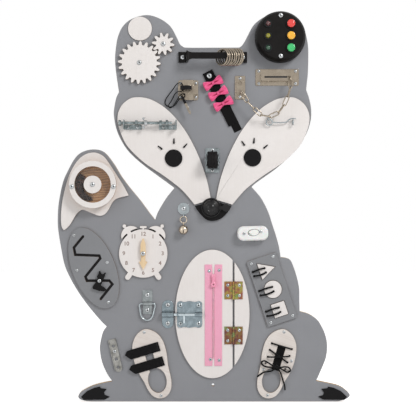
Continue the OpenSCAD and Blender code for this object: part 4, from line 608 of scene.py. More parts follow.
coat(pattern_screw, (zinc, grimy_zinc), in_recess)
bpy.ops.mesh.primitive_cone_add(vertices=12, radius1=0.46, radius2=0.1, depth=4, location=(0, 0, -2),
                                rotation=(math.pi, 0, 0))
pattern_screw = joined([pattern_screw, bpy.context.object], "pattern_screw")
bpy.ops.transform.rotate(value=math.radians(-90), orient_axis="X", center_override=(0, 0, 0))
pattern_screw = settle(pattern_screw, "pattern_screw")


def neighbours(corner):
    """The corners that share an edge with this one."""
    return {edge.other_vert(corner) for edge in corner.link_edges}


def box_of(corners):
    """The lowest and the highest corner of the box round some corners."""
    return tuple(Vector(end(corner.co[i] for corner in corners) for i in range(3)) for end in (min, max))


def islands(node):
    """The box of each separate solid of a CAD node, from its lowest to its highest corner."""
    shape = bmesh.new()
    shape.from_mesh(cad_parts[node].data)
    bmesh.ops.remove_doubles(shape, verts=shape.verts, dist=weld)
    found = [box_of(group) for group in grouped(set(shape.verts), neighbours)]
    shape.free()
    return sorted(found, key=lambda pair: (round(pair[0].x, 5), round(pair[0].z, 5)))


def screws_at(name, boxes, skin, body, slot, *nodes):
    """A copy of the pattern screw in each box, as wide as it and with its tip at the box's back."""
    dice = random.Random(name)
    made = []
    for low, high in boxes:
        radius = (high.x - low.x) / 2
        seat = low.y + head_rise * radius
        piece = copy_of(pattern_screw.data, name)
        length = (high.y - seat) / (4 * radius)
        for corner in piece.data.vertices:
            corner.co.y *= length if corner.co.y > 0.01 else 1
        middle = Vector(((low.x + high.x) / 2, seat, (low.z + high.z) / 2))
        piece.data.transform(Matrix.Translation(middle) @ Matrix.Rotation(dice.uniform(0, math.pi), 4, "Y")
                             @ Matrix.Scale(radius, 4))
        made.append(piece)
    piece = joined(made, name)
    piece.data.materials[0] = skin
    bpy.ops.object.shade_smooth_by_angle(angle=math.radians(35))
    return fit_out(piece, body, slot, *nodes)


screws_at("board_screws", islands("screws"), zinc, "board", "zinc_screw", "screws")

# ======== Gears
# Two meshing wheels cut from 6 mm plywood, painted white on their faces. They turn on the shanks of
# their screws.
for node in ("gear_large", "gear_small"):
    dress(node, node + "_wheel", node, "white_painted_plywood", (white_paint, lasered_edge), sawn)

# ======== Pull handle
# A die-cast bow handle in semi-gloss black enamel, held by one screw through each flat foot.
moulded, given, result = new_effect("moulded", Body=tone("1a1a1b"), Sheen=tone("262627"), Polish=0.3,
                                    Grain=0.5)
pebble = cloud(moulded, given["Vector"], 1400, 2)
wear = cloud(moulded, given["Vector"], 60, 4, 0.6)
show(moulded, result, mixed(moulded, between(moulded, wear, 0.35, 0.75), given["Body"], given["Sheen"]),
     sums(moulded, "ADD", given["Polish"], between(moulded, wear, 0.35, 0.75, 0, 0.1)),
     sums(moulded, "MULTIPLY", pebble, given["Grain"]))


def plastic(name, body, sheen, polish, relief, shader=None, grain=0.5):
    """Moulded plastic or enamel: its colour, its worn colour, how rough and how pebbled it is."""
    return finish(name, moulded, relief=relief, Body=tone(body), Sheen=tone(sheen), Polish=polish,
                  Grain=grain, shader=shader)


black_enamel = plastic("black_enamel", "0b0909", "141111", 0.3, 0.00005,
                       {"Coat Weight": 0.12, "Coat Roughness": 0.2, "Specular IOR Level": 0.1})
dress("pull_handle", "bow_handle", "board", "black_handle_enamel", (black_enamel,), width=0.7, segments=3,
      angle=30)

# ======== Split rings on the handle
# Eight steel key rings, each a flat wire wound twice and nickel-plated, hang on the handle and lean
# on each other.
nickel = metal("nickel", "a19687", "6a5f53", 0.4, 0.2, 0.00001)
ring_boxes = islands("handle_rings")
ring_wire = 2.8 * mm
ring_radius = (ring_boxes[0][1].z - ring_boxes[0][0].z - ring_wire) / 2
ring_pitch = 1.34 * mm
ring_lean = math.radians(45)
ring_wound = 712


def close_ends():
    """The open ends of a wound wire are closed, and its faces point outwards."""
    work = bpy.ops.mesh
    edit((work.select_mode, {"type": "EDGE"}), (work.select_all, {"action": "DESELECT"}),
         (work.select_non_manifold, {}), (work.edge_face_add, {}), (work.select_all, {"action": "SELECT"}),
         (work.normals_make_consistent, {"inside": False}))


bpy.ops.mesh.primitive_circle_add(vertices=12, radius=1, location=(ring_radius, 0, 0),
                                  rotation=(math.radians(90), 0, 0))
pattern_ring = bpy.context.object
pattern_ring.scale = (ring_wire * 0.44, ring_pitch * 0.46, 1)
pattern_ring = settle(pattern_ring, "pattern_ring")
modify(pattern_ring, "SCREW", angle=math.radians(ring_wound), screw_offset=ring_pitch * ring_wound / 360,
       steps=110, render_steps=110, use_smooth_shade=True)
apply_all(pattern_ring)
close_ends()
rings = []
for number, (low, high) in enumerate(ring_boxes):
    piece = copy_of(pattern_ring.data, "ring")
    piece.data.transform(Matrix.Translation((low + high) / 2) @ Matrix.Rotation(-ring_lean, 4, "Z")
                         @ Matrix.Rotation(math.radians(90), 4, "X") @ Matrix.Rotation(number * 1.9, 4, "Z")
                         @ Matrix.Translation((0, 0, -ring_pitch)))
    rings.append(piece)
bpy.data.objects.remove(pattern_ring)
key_rings = coat(joined(rings, "key_rings"), (nickel,))
bpy.ops.object.shade_smooth_by_angle(angle=math.radians(50))
fit_out(key_rings, "handle_rings", "nickel_ring_steel", "handle_rings")

# ======== Lamp case
# A round case turned from black plastic, with a battery box and a circuit board inside. Three
# diodes in black collars stand in its face, each beside its own push button.
case_plastic = plastic("case_plastic", "0f0d0c", "171514", 0.42, 0.00008, {"Specular IOR Level": 0.12})
dress("light_case", "lamp_case", "board", "black_case_plastic", (case_plastic,), width=0.3, angle=25)
collar_plastic = plastic("collar_plastic", "0c0d0e", "141618", 0.2, 0.00002,
                         {"Coat Weight": 0.15, "Specular IOR Level": 0.15})
solder_mask = plastic("solder_mask", "1d5a35", "26683f", 0.35, 0.00004)
lens_ware = {"Transmission Weight": 0.35, "IOR": 1.49, "Coat Weight": 0.8, "Coat Roughness": 0.05}
lamp_column = -24 * mm
lens_radius = 4.6 * mm
lamp_rows = (("red", 23, "5a0c0e", "84201c"), ("yellow", 0, "a8a212", "cac424"),
             ("green", -23, "08482a", "16683e"))
case_low, case_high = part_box("light_case")
case_middle = (case_low + case_high) / 2
lenses = [plastic(name + "_lens", body, glow, 0.08, 0.00001, lens_ware, 0.1)
          for name, _, body, glow in lamp_rows]
diodes = dress("lamp_board", "diodes_and_board", "board", "led_lens_plastic",
               (collar_plastic, solder_mask, *lenses),
               lambda middle, normal: 1 if middle.y > case_low.y + 12 * mm else 0, angle=35)
for face in diodes.data.polygons:
    corners = [diodes.data.vertices[number].co for number in face.vertices]
    for number, (_, row, _, _) in enumerate(lamp_rows):
        lamp_at = Vector((case_middle.x + lamp_column, 0, case_middle.z + row * mm))
        if corners[0].y < case_low.y + 1.6 * mm and all(
                (Vector((spot.x, 0, spot.z)) - lamp_at).length < lens_radius for spot in corners):
            face.material_index = 2 + number

# ======== Push buttons
# Glossy domed caps, red, yellow and green, that press down into the case on a spring.
button_ware = {"Coat Weight": 1.0, "Coat Roughness": 0.06, "Subsurface Weight": 0.15,
               "Subsurface Scale": 0.002}
for name, body, glow in (("red", "e2261c", "f0453a"), ("yellow", "f5ae08", "ffc020"),
                         ("green", "17b45c", "2fce76")):
    node = "button_" + name
    dress(node, node + "_cap", node, name + "_button_plastic",
          (plastic(node + "_gloss", body, glow, 0.1, 0.00001, button_ware),), width=0.5, segments=4, angle=50)

# ======== Cupboard lock
# A square nickel-plated lock case with a turning cylinder. A key with a black moulded bow stands in
# the cylinder.
dress("lock_plate", "lock_case", "board", "nickel_lock_zinc", (nickel,), width=0.5, segments=3)
key_grip = plastic("key_grip", "0d0c0d", "191819", 0.34, 0.00006, {"Specular IOR Level": 0.15})
blade_brass = metal("blade_brass", "a39a8d", "5d5345", 0.6, 0.28, 0.00004)
key_out_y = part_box("lock_core")[0].y + 17 * mm
dress("lock_core", "cylinder_and_key", "lock_core", "nickel_lock_zinc", (key_grip, nickel),
      lambda middle, normal: 1 if middle.y > key_out_y else 0, 0.3)

# ======== Spare key
# The lock's second key hangs on the cord by its black moulded head.
spare_axis = Vector((math.sin(math.radians(26)), 0, -math.cos(math.radians(26))))
head_end = place(-58.2, 550, 0).dot(spare_axis) + 12.4 * mm
dress("spare_key", "second_key", "board", "nickel_key_brass", (key_grip, blade_brass),
      lambda middle, normal: 1 if middle.dot(spare_axis) > head_end else 0)

# ======== Strap under the bows
# Two layers of woven black webbing, screwed to the board through the top end. The upper one is the
# wider, and the lower one hangs out below it.


def on_board(x, z, turn=0.0, lift=0.0):
    """A frame in millimetres on the board: its first axis turns to the right, its third stands off."""
    c, s = math.cos(math.radians(turn)), math.sin(math.radians(turn))
    return (Matrix.Translation(place(x, z, lift))
            @ Matrix(((c, -s, 0, 0), (0, 0, -1, 0), (s, c, 0, 0), (0, 0, 0, 1))) @ Matrix.Scale(mm, 4))


def put(piece, frame_at, name):
    """The piece's mesh goes from millimetres in a frame on the board to its place in the model."""
    settle(piece, name)
    piece.data.transform(frame_at)
    piece.data.update()
    return piece


# Weave: yarns that go over and under each other across the band, finer or coarser by their pitch.
# The gap colour is painted shade between the yarns, where the weave sits low.
weave, given, result = new_effect("weave", Yarn=tone("1b1a1b"), Gap=tone("070707"), Across=1.3 * mm,
                                  Along=0.9 * mm, Fuzz=0.3)
side_x, _, side_z = add(weave, "SeparateXYZ", {"Vector": given["Vector"]}).outputs
warp = sums(weave, "DIVIDE", side_x, given["Across"])
weft = sums(weave, "DIVIDE", side_z, given["Along"])
over = sums(weave, "ABSOLUTE", sums(weave, "SINE", sums(weave, "MULTIPLY", sums(weave, "ADD", warp, sums(
    weave, "MULTIPLY", sums(weave, "FLOOR", weft), 0.5)), math.pi)))
round_yarn = sums(weave, "ABSOLUTE", sums(weave, "SINE", sums(weave, "MULTIPLY", weft, math.pi)))
yarn_top = sums(weave, "MULTIPLY", sums(weave, "POWER", over, 0.6), sums(weave, "POWER", round_yarn, 0.6))
lint = cloud(weave, given["Vector"], 1500, 3, 0.7)
weave_shade = sums(weave, "SUBTRACT", yarn_top,
                   sums(weave, "MULTIPLY", given["Fuzz"], between(weave, lint, 0.4, 0.8)))
show(weave, result, mixed(weave, between(weave, weave_shade, 0, 0.9), given["Gap"], given["Yarn"]),
     between(weave, yarn_top, 0, 1, 0.9, 0.68),
     sums(weave, "ADD", yarn_top, sums(weave, "MULTIPLY", lint, given["Fuzz"])))
cloth_ware = {"Sheen Weight": 0.1, "Sheen Roughness": 0.5, "Specular IOR Level": 0.1}
strap_turn = 26.5
webbing_weave = finish("webbing_weave", weave, relief=0.00018, turn=(0, math.radians(strap_turn), 0),
                       shader=cloth_ware, Yarn=tone("100f10"), Gap=tone("050505"))


def laid_band(name, frame_at, left, right, bottom, top, under, thick, skin, waver=0.12, sides=None,
              wear=("board", "black_webbing", "webbing")):
    """A band of cloth with soft selvages and slight waves, between four edges in millimetres."""
    deselect()
    bpy.ops.mesh.primitive_grid_add(x_subdivisions=8, y_subdivisions=max(8, round((top - bottom) / 2.5)),
                                    size=2)
    band = bpy.context.object
    for corner in band.data.vertices:
        across, along = corner.co.x, corner.co.y
        corner.co.y = (bottom + top) / 2 + along * (top - bottom) / 2
        low, high = sides(corner.co.y) if sides else (left, right)
        corner.co.x = (low + high) / 2 + across * (high - low) / 2
        corner.co.z = under + waver * (
            1 + math.sin(3.1 * across + 0.11 * corner.co.y) * math.cos(0.21 * corner.co.y))
    modify(band, "SOLIDIFY", thickness=thick - 2 * waver, offset=1)
    modify(band, "BEVEL", width=0.32 * thick, segments=3, limit_method="ANGLE", angle_limit=math.radians(50))
    apply_all(band)
    put(band, frame_at, name)
    coat(band, (skin,))
    bpy.ops.object.shade_smooth()
    return fit_out(band, *wear)


strap_frame = on_board(-6.9, 592.6, strap_turn)
strap_half = 10.3
upper_band = laid_band("upper_webbing", strap_frame, -strap_half, strap_half, -104, 9, 1.42, 1.36,
                       webbing_weave, 0.04)
lower_band = laid_band("lower_webbing", strap_frame, -5.3, strap_half, -119, 9, 0.02, 1.34, webbing_weave,
                       0.03)

# ======== Shoe tongues
# A felt tongue lies in the cut-out of each shoe, under the lace or the straps.
# Felt: matted wool, darker in its low spots, which is painted shade.
felt, given, result = new_effect("felt", Wool=tone("1c1b1c"), Deep=tone("0b0b0b"), Hair=0.6)
mat = cloud(felt, given["Vector"], 900, 5, 0.75)
tufts = cloud(felt, given["Vector"], 180, 3)
matted = sums(felt, "ADD", sums(felt, "MULTIPLY", mat, given["Hair"]), sums(felt, "MULTIPLY", tufts, 0.4))
show(felt, result, mixed(felt, between(felt, matted, 0.3, 0.7), given["Deep"], given["Wool"]),
     between(felt, mat, 0.2, 0.8, 0.95, 0.8), matted)
black_felt = finish("black_felt", felt, relief=0.0002,
                    shader={"Sheen Weight": 0.12, "Specular IOR Level": 0.08})
tongue_half = 7.5
tongue_turn = 16.5
right_tongue = laid_band("right_tongue", on_board(126.5, 55.5, -tongue_turn), -tongue_half, tongue_half, -28,
                         19, 0.05, 3.2, black_felt, 0.1)
left_tongue = laid_band("left_tongue", on_board(-121.5, 55.5, tongue_turn), 0.5 - tongue_half,
                        tongue_half - 0.5, 4, 19, 0.05, 3.2, black_felt, 0.1)

# ======== Bows
# Three ready-tied bows of printed satin ribbon slide on the strap. Each is a ribbon folded into two
# open loops, gathered in the middle and bound with a band of the same ribbon.
# Satin: pink silk with a painted highlight along the pleats, painted shade in the fold down the middle of
# each loop near the knot, and printed dashes of ink.
satin, given, result = new_effect("printed_satin", Silk=tone("e43a78"), Shine=tone("fb78a6"),
                                  Crease=tone("a50c40"), Ink=tone("2a1620"))
loop_u, loop_v, _ = add(satin, "SeparateXYZ", {"Vector": given["Vector"]}).outputs
from_middle = sums(satin, "ABSOLUTE", sums(satin, "SUBTRACT", loop_v, 0.5))
pleats = cloud(satin, stretch(satin, given["Vector"], (1.6, 15, 1)), 1, 2)
silk = mixed(satin, between(satin, pleats, 0.35, 0.7), given["Silk"], given["Shine"])
fold_width = between(satin, loop_u, 0.0, 0.38, 0.26, 0.05)
in_fold = sums(satin, "MULTIPLY",
               between(satin, sums(satin, "DIVIDE", from_middle, fold_width), 0.25, 1, 1, 0),
               between(satin, loop_u, 0.2, 0.36, 1, 0))
creased = mixed(satin, in_fold, silk, given["Crease"])
row = between(satin, sums(satin, "ABSOLUTE", sums(satin, "SUBTRACT", from_middle, 0.37)), 0.016, 0.03, 1, 0)
stroke = sums(satin, "FRACT", sums(satin, "ADD", sums(satin, "MULTIPLY", loop_u, 16),
                                   sums(satin, "MULTIPLY", loop_v, 5)))
spaced = sums(satin, "MULTIPLY", row, sums(satin, "LESS_THAN", stroke, 0.42))
dropped = sums(satin, "GREATER_THAN", cloud(satin, stretch(satin, given["Vector"], (9, 3, 1)), 1, 1), 0.45)
printed = mixed(satin, sums(satin, "MULTIPLY", spaced, dropped), creased, given["Ink"])
thread = cloud(satin, stretch(satin, given["Vector"], (60, 260, 1)), 1, 2)
show(satin, result, printed,
     between(satin, pleats, 0.3, 0.7, 0.5, 0.36),
     sums(satin, "ADD", pleats, sums(satin, "MULTIPLY", thread, 0.12)))
satin_ware = {"Sheen Weight": 0.4, "Sheen Roughness": 0.4, "Specular IOR Level": 0.35}
ribbon_print = finish("ribbon_print", satin, relief=0.0004, coords="UV", shader=satin_ware)
ribbon_t = 0.35
bow_half = 19.5
bow_high = 6.9
loop_widths = ((0, 3.2), (2.5, 3.9), (5, 4.8), (10, 7.2), (14, 8.6), (18.5, 9.2), (19.5, 9.2))


def loop_width(x):
    """Half the ribbon's width at a distance from the middle of the bow."""
    for (x0, w0), (x1, w1) in zip(loop_widths, loop_widths[1:]):
        if x <= x1:
            return w0 + (w1 - w0) * (x - x0) / (x1 - x0)
    return loop_widths[-1][1]


def ribbon_loop(side):
    """One loop: out from the middle in front, round the end, and back behind."""
    deselect()
    bpy.ops.mesh.primitive_grid_add(x_subdivisions=40, y_subdivisions=20, size=2)
    loop = bpy.context.object
    for corner in loop.data.vertices:
        way, across = (corner.co.x + 1) / 2, corner.co.y
        turn = math.pi * min(max((way - 0.42) / 0.16, 0), 1)
        out = min(way / 0.42, 1) if way < 0.5 else min((1 - way) / 0.42, 1)
        reach = bow_half - 2.2 - 1.5 * across ** 2
        x = out * reach + 2.2 * math.sin(turn)
        puff = math.sin(min(out, 1) ** 0.7 * math.pi * 0.62) ** 0.8 if out > 0 else 0
        dent = math.exp(-((across - 0.06) / (0.15 + 0.14 * (1 - out))) ** 2) * (1 - out) ** 0.45
        ripple = 0.5 * math.cos(across * 8.5 + side) * (1 - out) * puff
        front = 3.2 + (bow_high - 3.6) * puff * (1 - 0.45 * across ** 2) - 3.0 * dent * puff + ripple
        back = 0.55 + 0.5 * puff * across ** 2
        middle, tall = (front + back) / 2, (front - back) / 2
        lift = middle + tall * math.cos(turn)
        corner.co = (side * x, across * loop_width(x) * (1 - 0.04 * math.sin(turn)), lift)
    if side < 0:
        loop.data.flip_normals()
    modify(loop, "SOLIDIFY", thickness=ribbon_t, offset=-1)
    apply_all(loop)
    return loop


def ribbon_band():
    """The band round the middle, closed behind."""
    deselect()
    bpy.ops.mesh.primitive_cylinder_add(vertices=28, radius=1, depth=2, end_fill_type="NOTHING",
                                        rotation=(0, math.pi / 2, 0))
    band = settle(bpy.context.object, "band")
    edit((bpy.ops.mesh.subdivide, {"number_cuts": 3}))
    for corner in band.data.vertices:
        x, y, z = corner.co
        tight = 1 - 0.1 * (1 - x * x) + 0.03 * math.sin(9 * y + 4 * x)
        corner.co = (x * 2.3 + 0.25 * y, y * 4.3 * tight, 3.6 + z * 3.25 * tight)
    modify(band, "SOLIDIFY", thickness=ribbon_t, offset=-1)
    modify(band, "SUBSURF", levels=1, render_levels=1)
    apply_all(band)
    return band


strap_c, strap_s = math.cos(math.radians(strap_turn)), math.sin(math.radians(strap_turn))
# The band has the same painted highlight, and a fold shade close to the colour of its silk.
band_print = finish("band_print", satin, relief=0.0003, coords="UV", shader=satin_ware, scale=(1, 0.25, 1),
                    Crease=tone("e0407a"))
first_bow = 15.7
bow_pitch = 22
for number in (1, 2, 3):
    down = first_bow + bow_pitch * (number - 1)
    loops = coat(joined([ribbon_loop(1), ribbon_loop(-1)], "bow"), (ribbon_print,))
    bow = joined([loops, coat(ribbon_band(), (band_print,))], "bow")
    put(bow, on_board(-6.9 + strap_s * down, 592.6 - strap_c * down, strap_turn, 3.2), f"ribbon_bow_{number}")
    bpy.ops.object.shade_smooth_by_angle(angle=math.radians(60))
    fit_out(bow, f"bow_{number}", "pink_bow_satin", f"bow_{number}")

# ======== Track and anchor of the door chain
# Nickel-plated pressed steel: a track with a slotted channel in which a knob slides, and an anchor
# with a raised middle. A short post with an eye on each holds the chain.
def ease_only(piece, width, segments, wanted):
    """Only the sharp edges that wanted picks by their middle are rounded, by so many millimetres."""
    weigh_edges(piece, lambda shape: [e for e in shape.edges
                                      if sharp(e) and wanted((e.verts[0].co + e.verts[1].co) / 2)])
    modify(piece, "BEVEL", limit_method="WEIGHT", width=width * mm, segments=segments)
    apply_all(piece)
    return piece


channel_foot = board_front - 4.3 * mm
channel_top = board_front - 8.2 * mm
track = ease_only(bare_copy("chain_plates", "track_and_anchor"), 1.5, 5,
                  lambda spot: channel_top < spot.y < channel_foot)
fit_out(coat(ease(track, 0.35, angle=35), (nickel,)), "board", "nickel_lock_zinc", "chain_plates")

# ======== Door chain
# Nine welded links of nickel-plated wire, each turned a quarter from the last, between the eye of
# the anchor and the eye of the track's slider.
link_wire = 2.0
link_bend = 3.5
link_play = 0.6
chain_off = 22
chain_spots = [(55.3 + x, 556.3 + z) for x, z in (
    (0, 0), (10, -15), (22.5, -27.9), (35.5, -40.3), (52.4, -43.2), (68.6, -36), (79.2, -21.6), (86.6, -5.3),
    (91.5, 12))] + [(147.5, 582.5)]
links = []
for number, ((x0, z0), (x1, z1)) in enumerate(zip(chain_spots, chain_spots[1:])):
    deselect()
    bpy.ops.mesh.primitive_torus_add(major_segments=36, minor_segments=14, major_radius=link_bend,
                                     minor_radius=link_wire / 2)
    link = bpy.context.object
    straight = math.hypot(x1 - x0, z1 - z0) / 2 + (link_wire + link_play) / 2 - link_bend
    for corner in link.data.vertices:
        if abs(corner.co.x) > 0.01:
            corner.co.x += math.copysign(straight, corner.co.x)
        elif corner.co.y > 0:
            corner.co.y = link_bend + (corner.co.y - link_bend) * 1.22
            corner.co.z *= 1.22
    link.data.transform(Matrix.Rotation(math.radians(12 if number % 2 == 0 else 102), 4, "X"))
    links.append(put(link, on_board((x0 + x1) / 2, (z0 + z1) / 2, math.degrees(math.atan2(z1 - z0, x1 - x0)),
                                    chain_off), "link"))
chain = coat(joined(links, "chain_links"), (nickel,))
bpy.ops.object.shade_smooth()
fit_out(chain, "door_chain", "nickel_chain_steel", "door_chain")

# ======== Threaded rod, nuts and brackets
# A piece of M6 threaded rod in two folded zinc brackets. Two hexagon nuts lock it in each bracket.
blue_zinc = metal("blue_zinc", "949d9f", "3c4541", 0.8, 0.24)
rod_axis = on_board(-128.6, 501.4, 0, 16)
rod_half = 50.5
thread_pitch = 1.0
deselect()
bpy.ops.mesh.primitive_circle_add(vertices=3, radius=0.42, location=(0, 0, 2.62),
                                  rotation=(math.pi / 2, math.pi / 2, 0))
thread = settle(bpy.context.object, "thread")
modify(thread, "SCREW", axis="X", angle=2 * math.pi, screw_offset=thread_pitch,
       iterations=int(2 * rod_half / thread_pitch) - 3, steps=14, render_steps=14)
apply_all(thread)
thread.data.transform(Matrix.Translation((1.6 - rod_half, 0, 0)))
close_ends()


def round_bar(vertices, radius, length, name):
    """A straight bar along the first axis, round or with few sides."""
    deselect()
    bpy.ops.mesh.primitive_cylinder_add(vertices=vertices, radius=radius, depth=length,
                                        rotation=(0, math.pi / 2, 0))
    return settle(bpy.context.object, name)


rod_core = round_bar(28, 2.7, 2 * rod_half, "rod_core")
modify(rod_core, "BEVEL", width=0.7, segments=2, limit_method="ANGLE")
apply_all(rod_core)

# A nut is a hexagon whose corners are turned down at both ends, with a bore for the thread.
pattern_nut = round_bar(6, 5.6, 5, "pattern_nut")
for way, radius, length, turned_down in (("INTERSECT", 5.55, 5.02, 0.75), ("DIFFERENCE", 3.02, 8, 0)):
    cutter = round_bar(48, radius, length, "cutter")
    if turned_down:
        modify(cutter, "BEVEL", width=turned_down, limit_method="ANGLE")
        apply_all(cutter)
    modify(pattern_nut, "BOOLEAN", object=cutter, operation=way)
    apply_all(pattern_nut)
    bpy.data.objects.remove(cutter)
nuts = []
for number, x in enumerate((-49, -17.5, 29, 41)):
    nut = copy_of(pattern_nut.data, "nut")
    nut.data.transform(Matrix.Translation((x, 0, 0)) @ Matrix.Rotation(0.2 + number * 0.7, 4, "X"))
    nuts.append(nut)
bpy.data.objects.remove(pattern_nut)
rod_piece = put(joined([thread, rod_core, *nuts], "rod_with_nuts"), rod_axis, "rod_with_nuts")
coat(rod_piece, (blue_zinc,))
bpy.ops.object.shade_smooth_by_angle(angle=math.radians(35))
fit_out(rod_piece, "board", "zinc_threaded_steel", "threaded_rod")


def keep_only(piece, wanted):
    """Only the separate solids that wanted picks by their box stay in the piece."""
    shape = bmesh.new()
    shape.from_mesh(piece.data)
    lost = [corner for group in grouped(set(shape.verts), neighbours) if not wanted(*box_of(group))
            for corner in group]
    bmesh.ops.delete(shape, geom=lost, context="VERTS")
    shape.to_mesh(piece.data)
    shape.free()
    return piece


# The brackets are the solids of the group that reach back to the plate under them.
brackets = keep_only(bare_copy("threaded_rod", "rod_brackets"),
                     lambda low, high: high.y > board_front - 4.5 * mm)
fit_out(coat(ease(brackets, 0.4, 3), (blue_zinc,)), "board", "zinc_threaded_steel", "threaded_rod")

# ======== Wing nut
# A cast wing nut runs on the rod between the brackets.
hub_radius = 4 * mm
axis_y, axis_z = rod_axis.translation.yz
wings = ease_only(bare_copy("wing_nut", "cast_wing_nut"), 0.7, 3,
                  lambda spot: math.hypot(spot.y - axis_y, spot.z - axis_z) > hub_radius)
fit_out(coat(ease(wings, 0.15), (zinc,)), "wing_nut", "zinc_threaded_steel", "wing_nut")

# ======== Screw eyes and the plate of the jingle bell
# Bent zinc-plated wire eyes for the gate hook, and a round washer with a hanger below it for the bell.
bright_zinc = metal("bright_zinc", "a6adb0", "60686b", 0.45, 0.2, 0.00002)
dress("screw_eyes", "screw_eyes_and_washer", "board", "zinc_eye_steel", (bright_zinc,), angle=50, shortest=14)

# ======== Gate hook
# One length of zinc-plated wire: a ring bent at one end, and a straight shank that steps up to go
# through the far eye.
hook_wire = 2.2
hook_ring = 5.9
hook_frame = on_board(107.4, 503.4, 0, 10.0)
hook_step = 6.8
deselect()
bpy.ops.curve.primitive_bezier_curve_add()
run_through(bpy.context.object.data, (
    (hook_ring, 0, 0), (15, -1, 0), (27, -0.7, 0), (33, 0.4, 0), (37.5, 4.4, 0), (40.5, hook_step - 0.6, 0),
    (44, hook_step, 0), (50.5, hook_step, 0)), hook_wire)
bpy.ops.object.convert(target="MESH")
shank = bpy.context.object
bpy.ops.mesh.primitive_torus_add(major_segments=48, minor_segments=16, major_radius=hook_ring,
                                 minor_radius=hook_wire / 2)
hook = coat(put(joined([shank, bpy.context.object], "wire_hook"), hook_frame, "wire_hook"), (bright_zinc,))
bpy.ops.object.shade_smooth_by_angle(angle=math.radians(50))
fit_out(hook, "gate_hook", "zinc_eye_steel", "gate_hook")

# ======== Fixed caster
# A pressed bracket with an axle, screwed on by two screws, and a grooved rubber wheel on it.
caster_steel = metal("caster_steel", "989fa1", "40484a", 0.7, 0.24, 0.00004)
dress("caster_bracket", "caster_fork", "board", "zinc_caster_steel", (caster_steel,), width=0.5, segments=3)
rubber, given, result = new_effect("rubber", Tread=tone("0f0e0e"), Dust=tone("262220"), Wear=0.4)
scuff = cloud(rubber, given["Vector"], 220, 4, 0.7)
speck = cloud(rubber, given["Vector"], 1500, 2)
worn = sums(rubber, "MULTIPLY", given["Wear"], between(rubber, scuff, 0.5, 0.75))
show(rubber, result, mixed(rubber, worn, given["Tread"], given["Dust"]),
     between(rubber, scuff, 0.3, 0.7, 0.5, 0.68),
     sums(rubber, "ADD", scuff, sums(rubber, "MULTIPLY", speck, 0.3)))
black_rubber = finish("black_rubber", rubber, relief=0.00012, shader={"Specular IOR Level": 0.15})
tyre = ((3.1, -9.5), (6.2, -9.5), (6.6, -8.6), (12.6, -8.6), (13.2, -9.5), (14.7, -9.5), (15.6, -9.1),
        (16.2, -8.2), (16.2, -3.4), (15.7, -2.9), (15.7, -2.3), (16.2, -1.8))
tread = turned(tyre + tuple((out, -along) for out, along in reversed(tyre)))
axle = on_board(-1.2, 430.7, 0, 20.3) @ Matrix.Rotation(math.pi / 2, 4, "Y")
fit_out(coat(put(tread, axle, "rubber_wheel"), (black_rubber,)), "caster_wheel", "black_caster_rubber",
        "caster_wheel")

# ======== Bicycle bell
# A black plastic thumb bell on the nose: a round base with a post, a stepped dome over it, and a
# lever between them that flicks a hammer. A screw holds it from behind the dome.
bell_plastic = plastic("bell_plastic", "0c0b0c", "131213", 0.26, 0.00003,
                       {"Coat Weight": 0.25, "Coat Roughness": 0.12, "Specular IOR Level": 0.2})
bell_frame = on_board(-3.6, 339.9)
bell_base = turned(((0, 4), (19, 4), (19, 6.8), (18.4, 7.7), (17.6, 8), (16.4, 7.9), (15.8, 7.5), (15.2, 8),
                    (3, 8), (3, 13.6), (0, 13.6)))
dome_skirt = ((0, 2.2), (11.4, 2.2), (13.4, 0), (15, 0), (15.4, 0.4), (15.4, 1.7), (14.9, 2.6), (13.7, 4.7),
              (13, 5.3), (12.3, 5.4), (11.9, 6.5), (11.3, 7.5), (10.6, 8), (10.1, 8.1))
dome_top = ((9.9, 9.2), (9.4, 10), (8.6, 10.3), (7.9, 10.2), (7.3, 9.9), (6.8, 10.2), (5.6, 11), (4, 11.5),
            (2, 11.8), (0, 11.85))
dome = turned([(out, 11.4 + up) for out, up in dome_skirt + dome_top])
for piece, name in ((bell_base, "bell_base"), (dome, "bell_dome")):
    coat(put(piece, bell_frame, name), (bell_plastic,))
    fit_out(piece, "board", "black_bell_plastic", "bell_housing")
dress("bell_lever", "thumb_lever", "bell_lever", "black_bell_plastic", (bell_plastic,), width=0.8, segments=3)

# ======== Jingle bell
# A nickel-plated steel bell with a loop, hung by a split ring from the hanger of its washer.
champagne = metal("champagne", "c4b7a6", "857868", 0.35, 0.14, 0.00001)
dress("jingle_bell", "jingle_and_ring", "jingle_bell", "nickel_ring_steel", (champagne,), width=0.2, angle=50)

# ======== Seed spinner
# A shallow dish turned from stained wood, closed by a clear acrylic window under a white front
# ring. Two screws hold the ring, and dried seeds slide round inside.
bare_wood, given, result = new_effect("bare_wood", Pale=tone("c79a6c"), Dark=tone("8f6540"), Rings=0.7,
                                      Pitch=900.0)
knot_warp = cloud(bare_wood, given["Vector"], 45, 2)
wood_x, _, wood_z = add(bare_wood, "SeparateXYZ", {"Vector": given["Vector"]}).outputs
ring_way = sums(bare_wood, "SQRT", sums(bare_wood, "ADD", sums(bare_wood, "POWER", wood_x, 2.0),
                                        sums(bare_wood, "POWER", wood_z, 2.0)))
year = sums(bare_wood, "SINE", sums(bare_wood, "ADD", sums(bare_wood, "MULTIPLY", ring_way, given["Pitch"]),
                                    sums(bare_wood, "MULTIPLY", knot_warp, 14.0)))
pores = cloud(bare_wood, stretch(bare_wood, given["Vector"], (1, 1, 0.06)), 1400, 3, 0.6)
grain = sums(bare_wood, "ADD", sums(bare_wood, "MULTIPLY", between(bare_wood, year, -1, 1), given["Rings"]),
             sums(bare_wood, "MULTIPLY", between(bare_wood, pores, 0.4, 0.7), 0.35))
show(bare_wood, result, mixed(bare_wood, grain, given["Pale"], given["Dark"]),
     between(bare_wood, pores, 0.3, 0.7, 0.5, 0.66),
     sums(bare_wood, "ADD", pores, sums(bare_wood, "MULTIPLY", year, 0.15)))
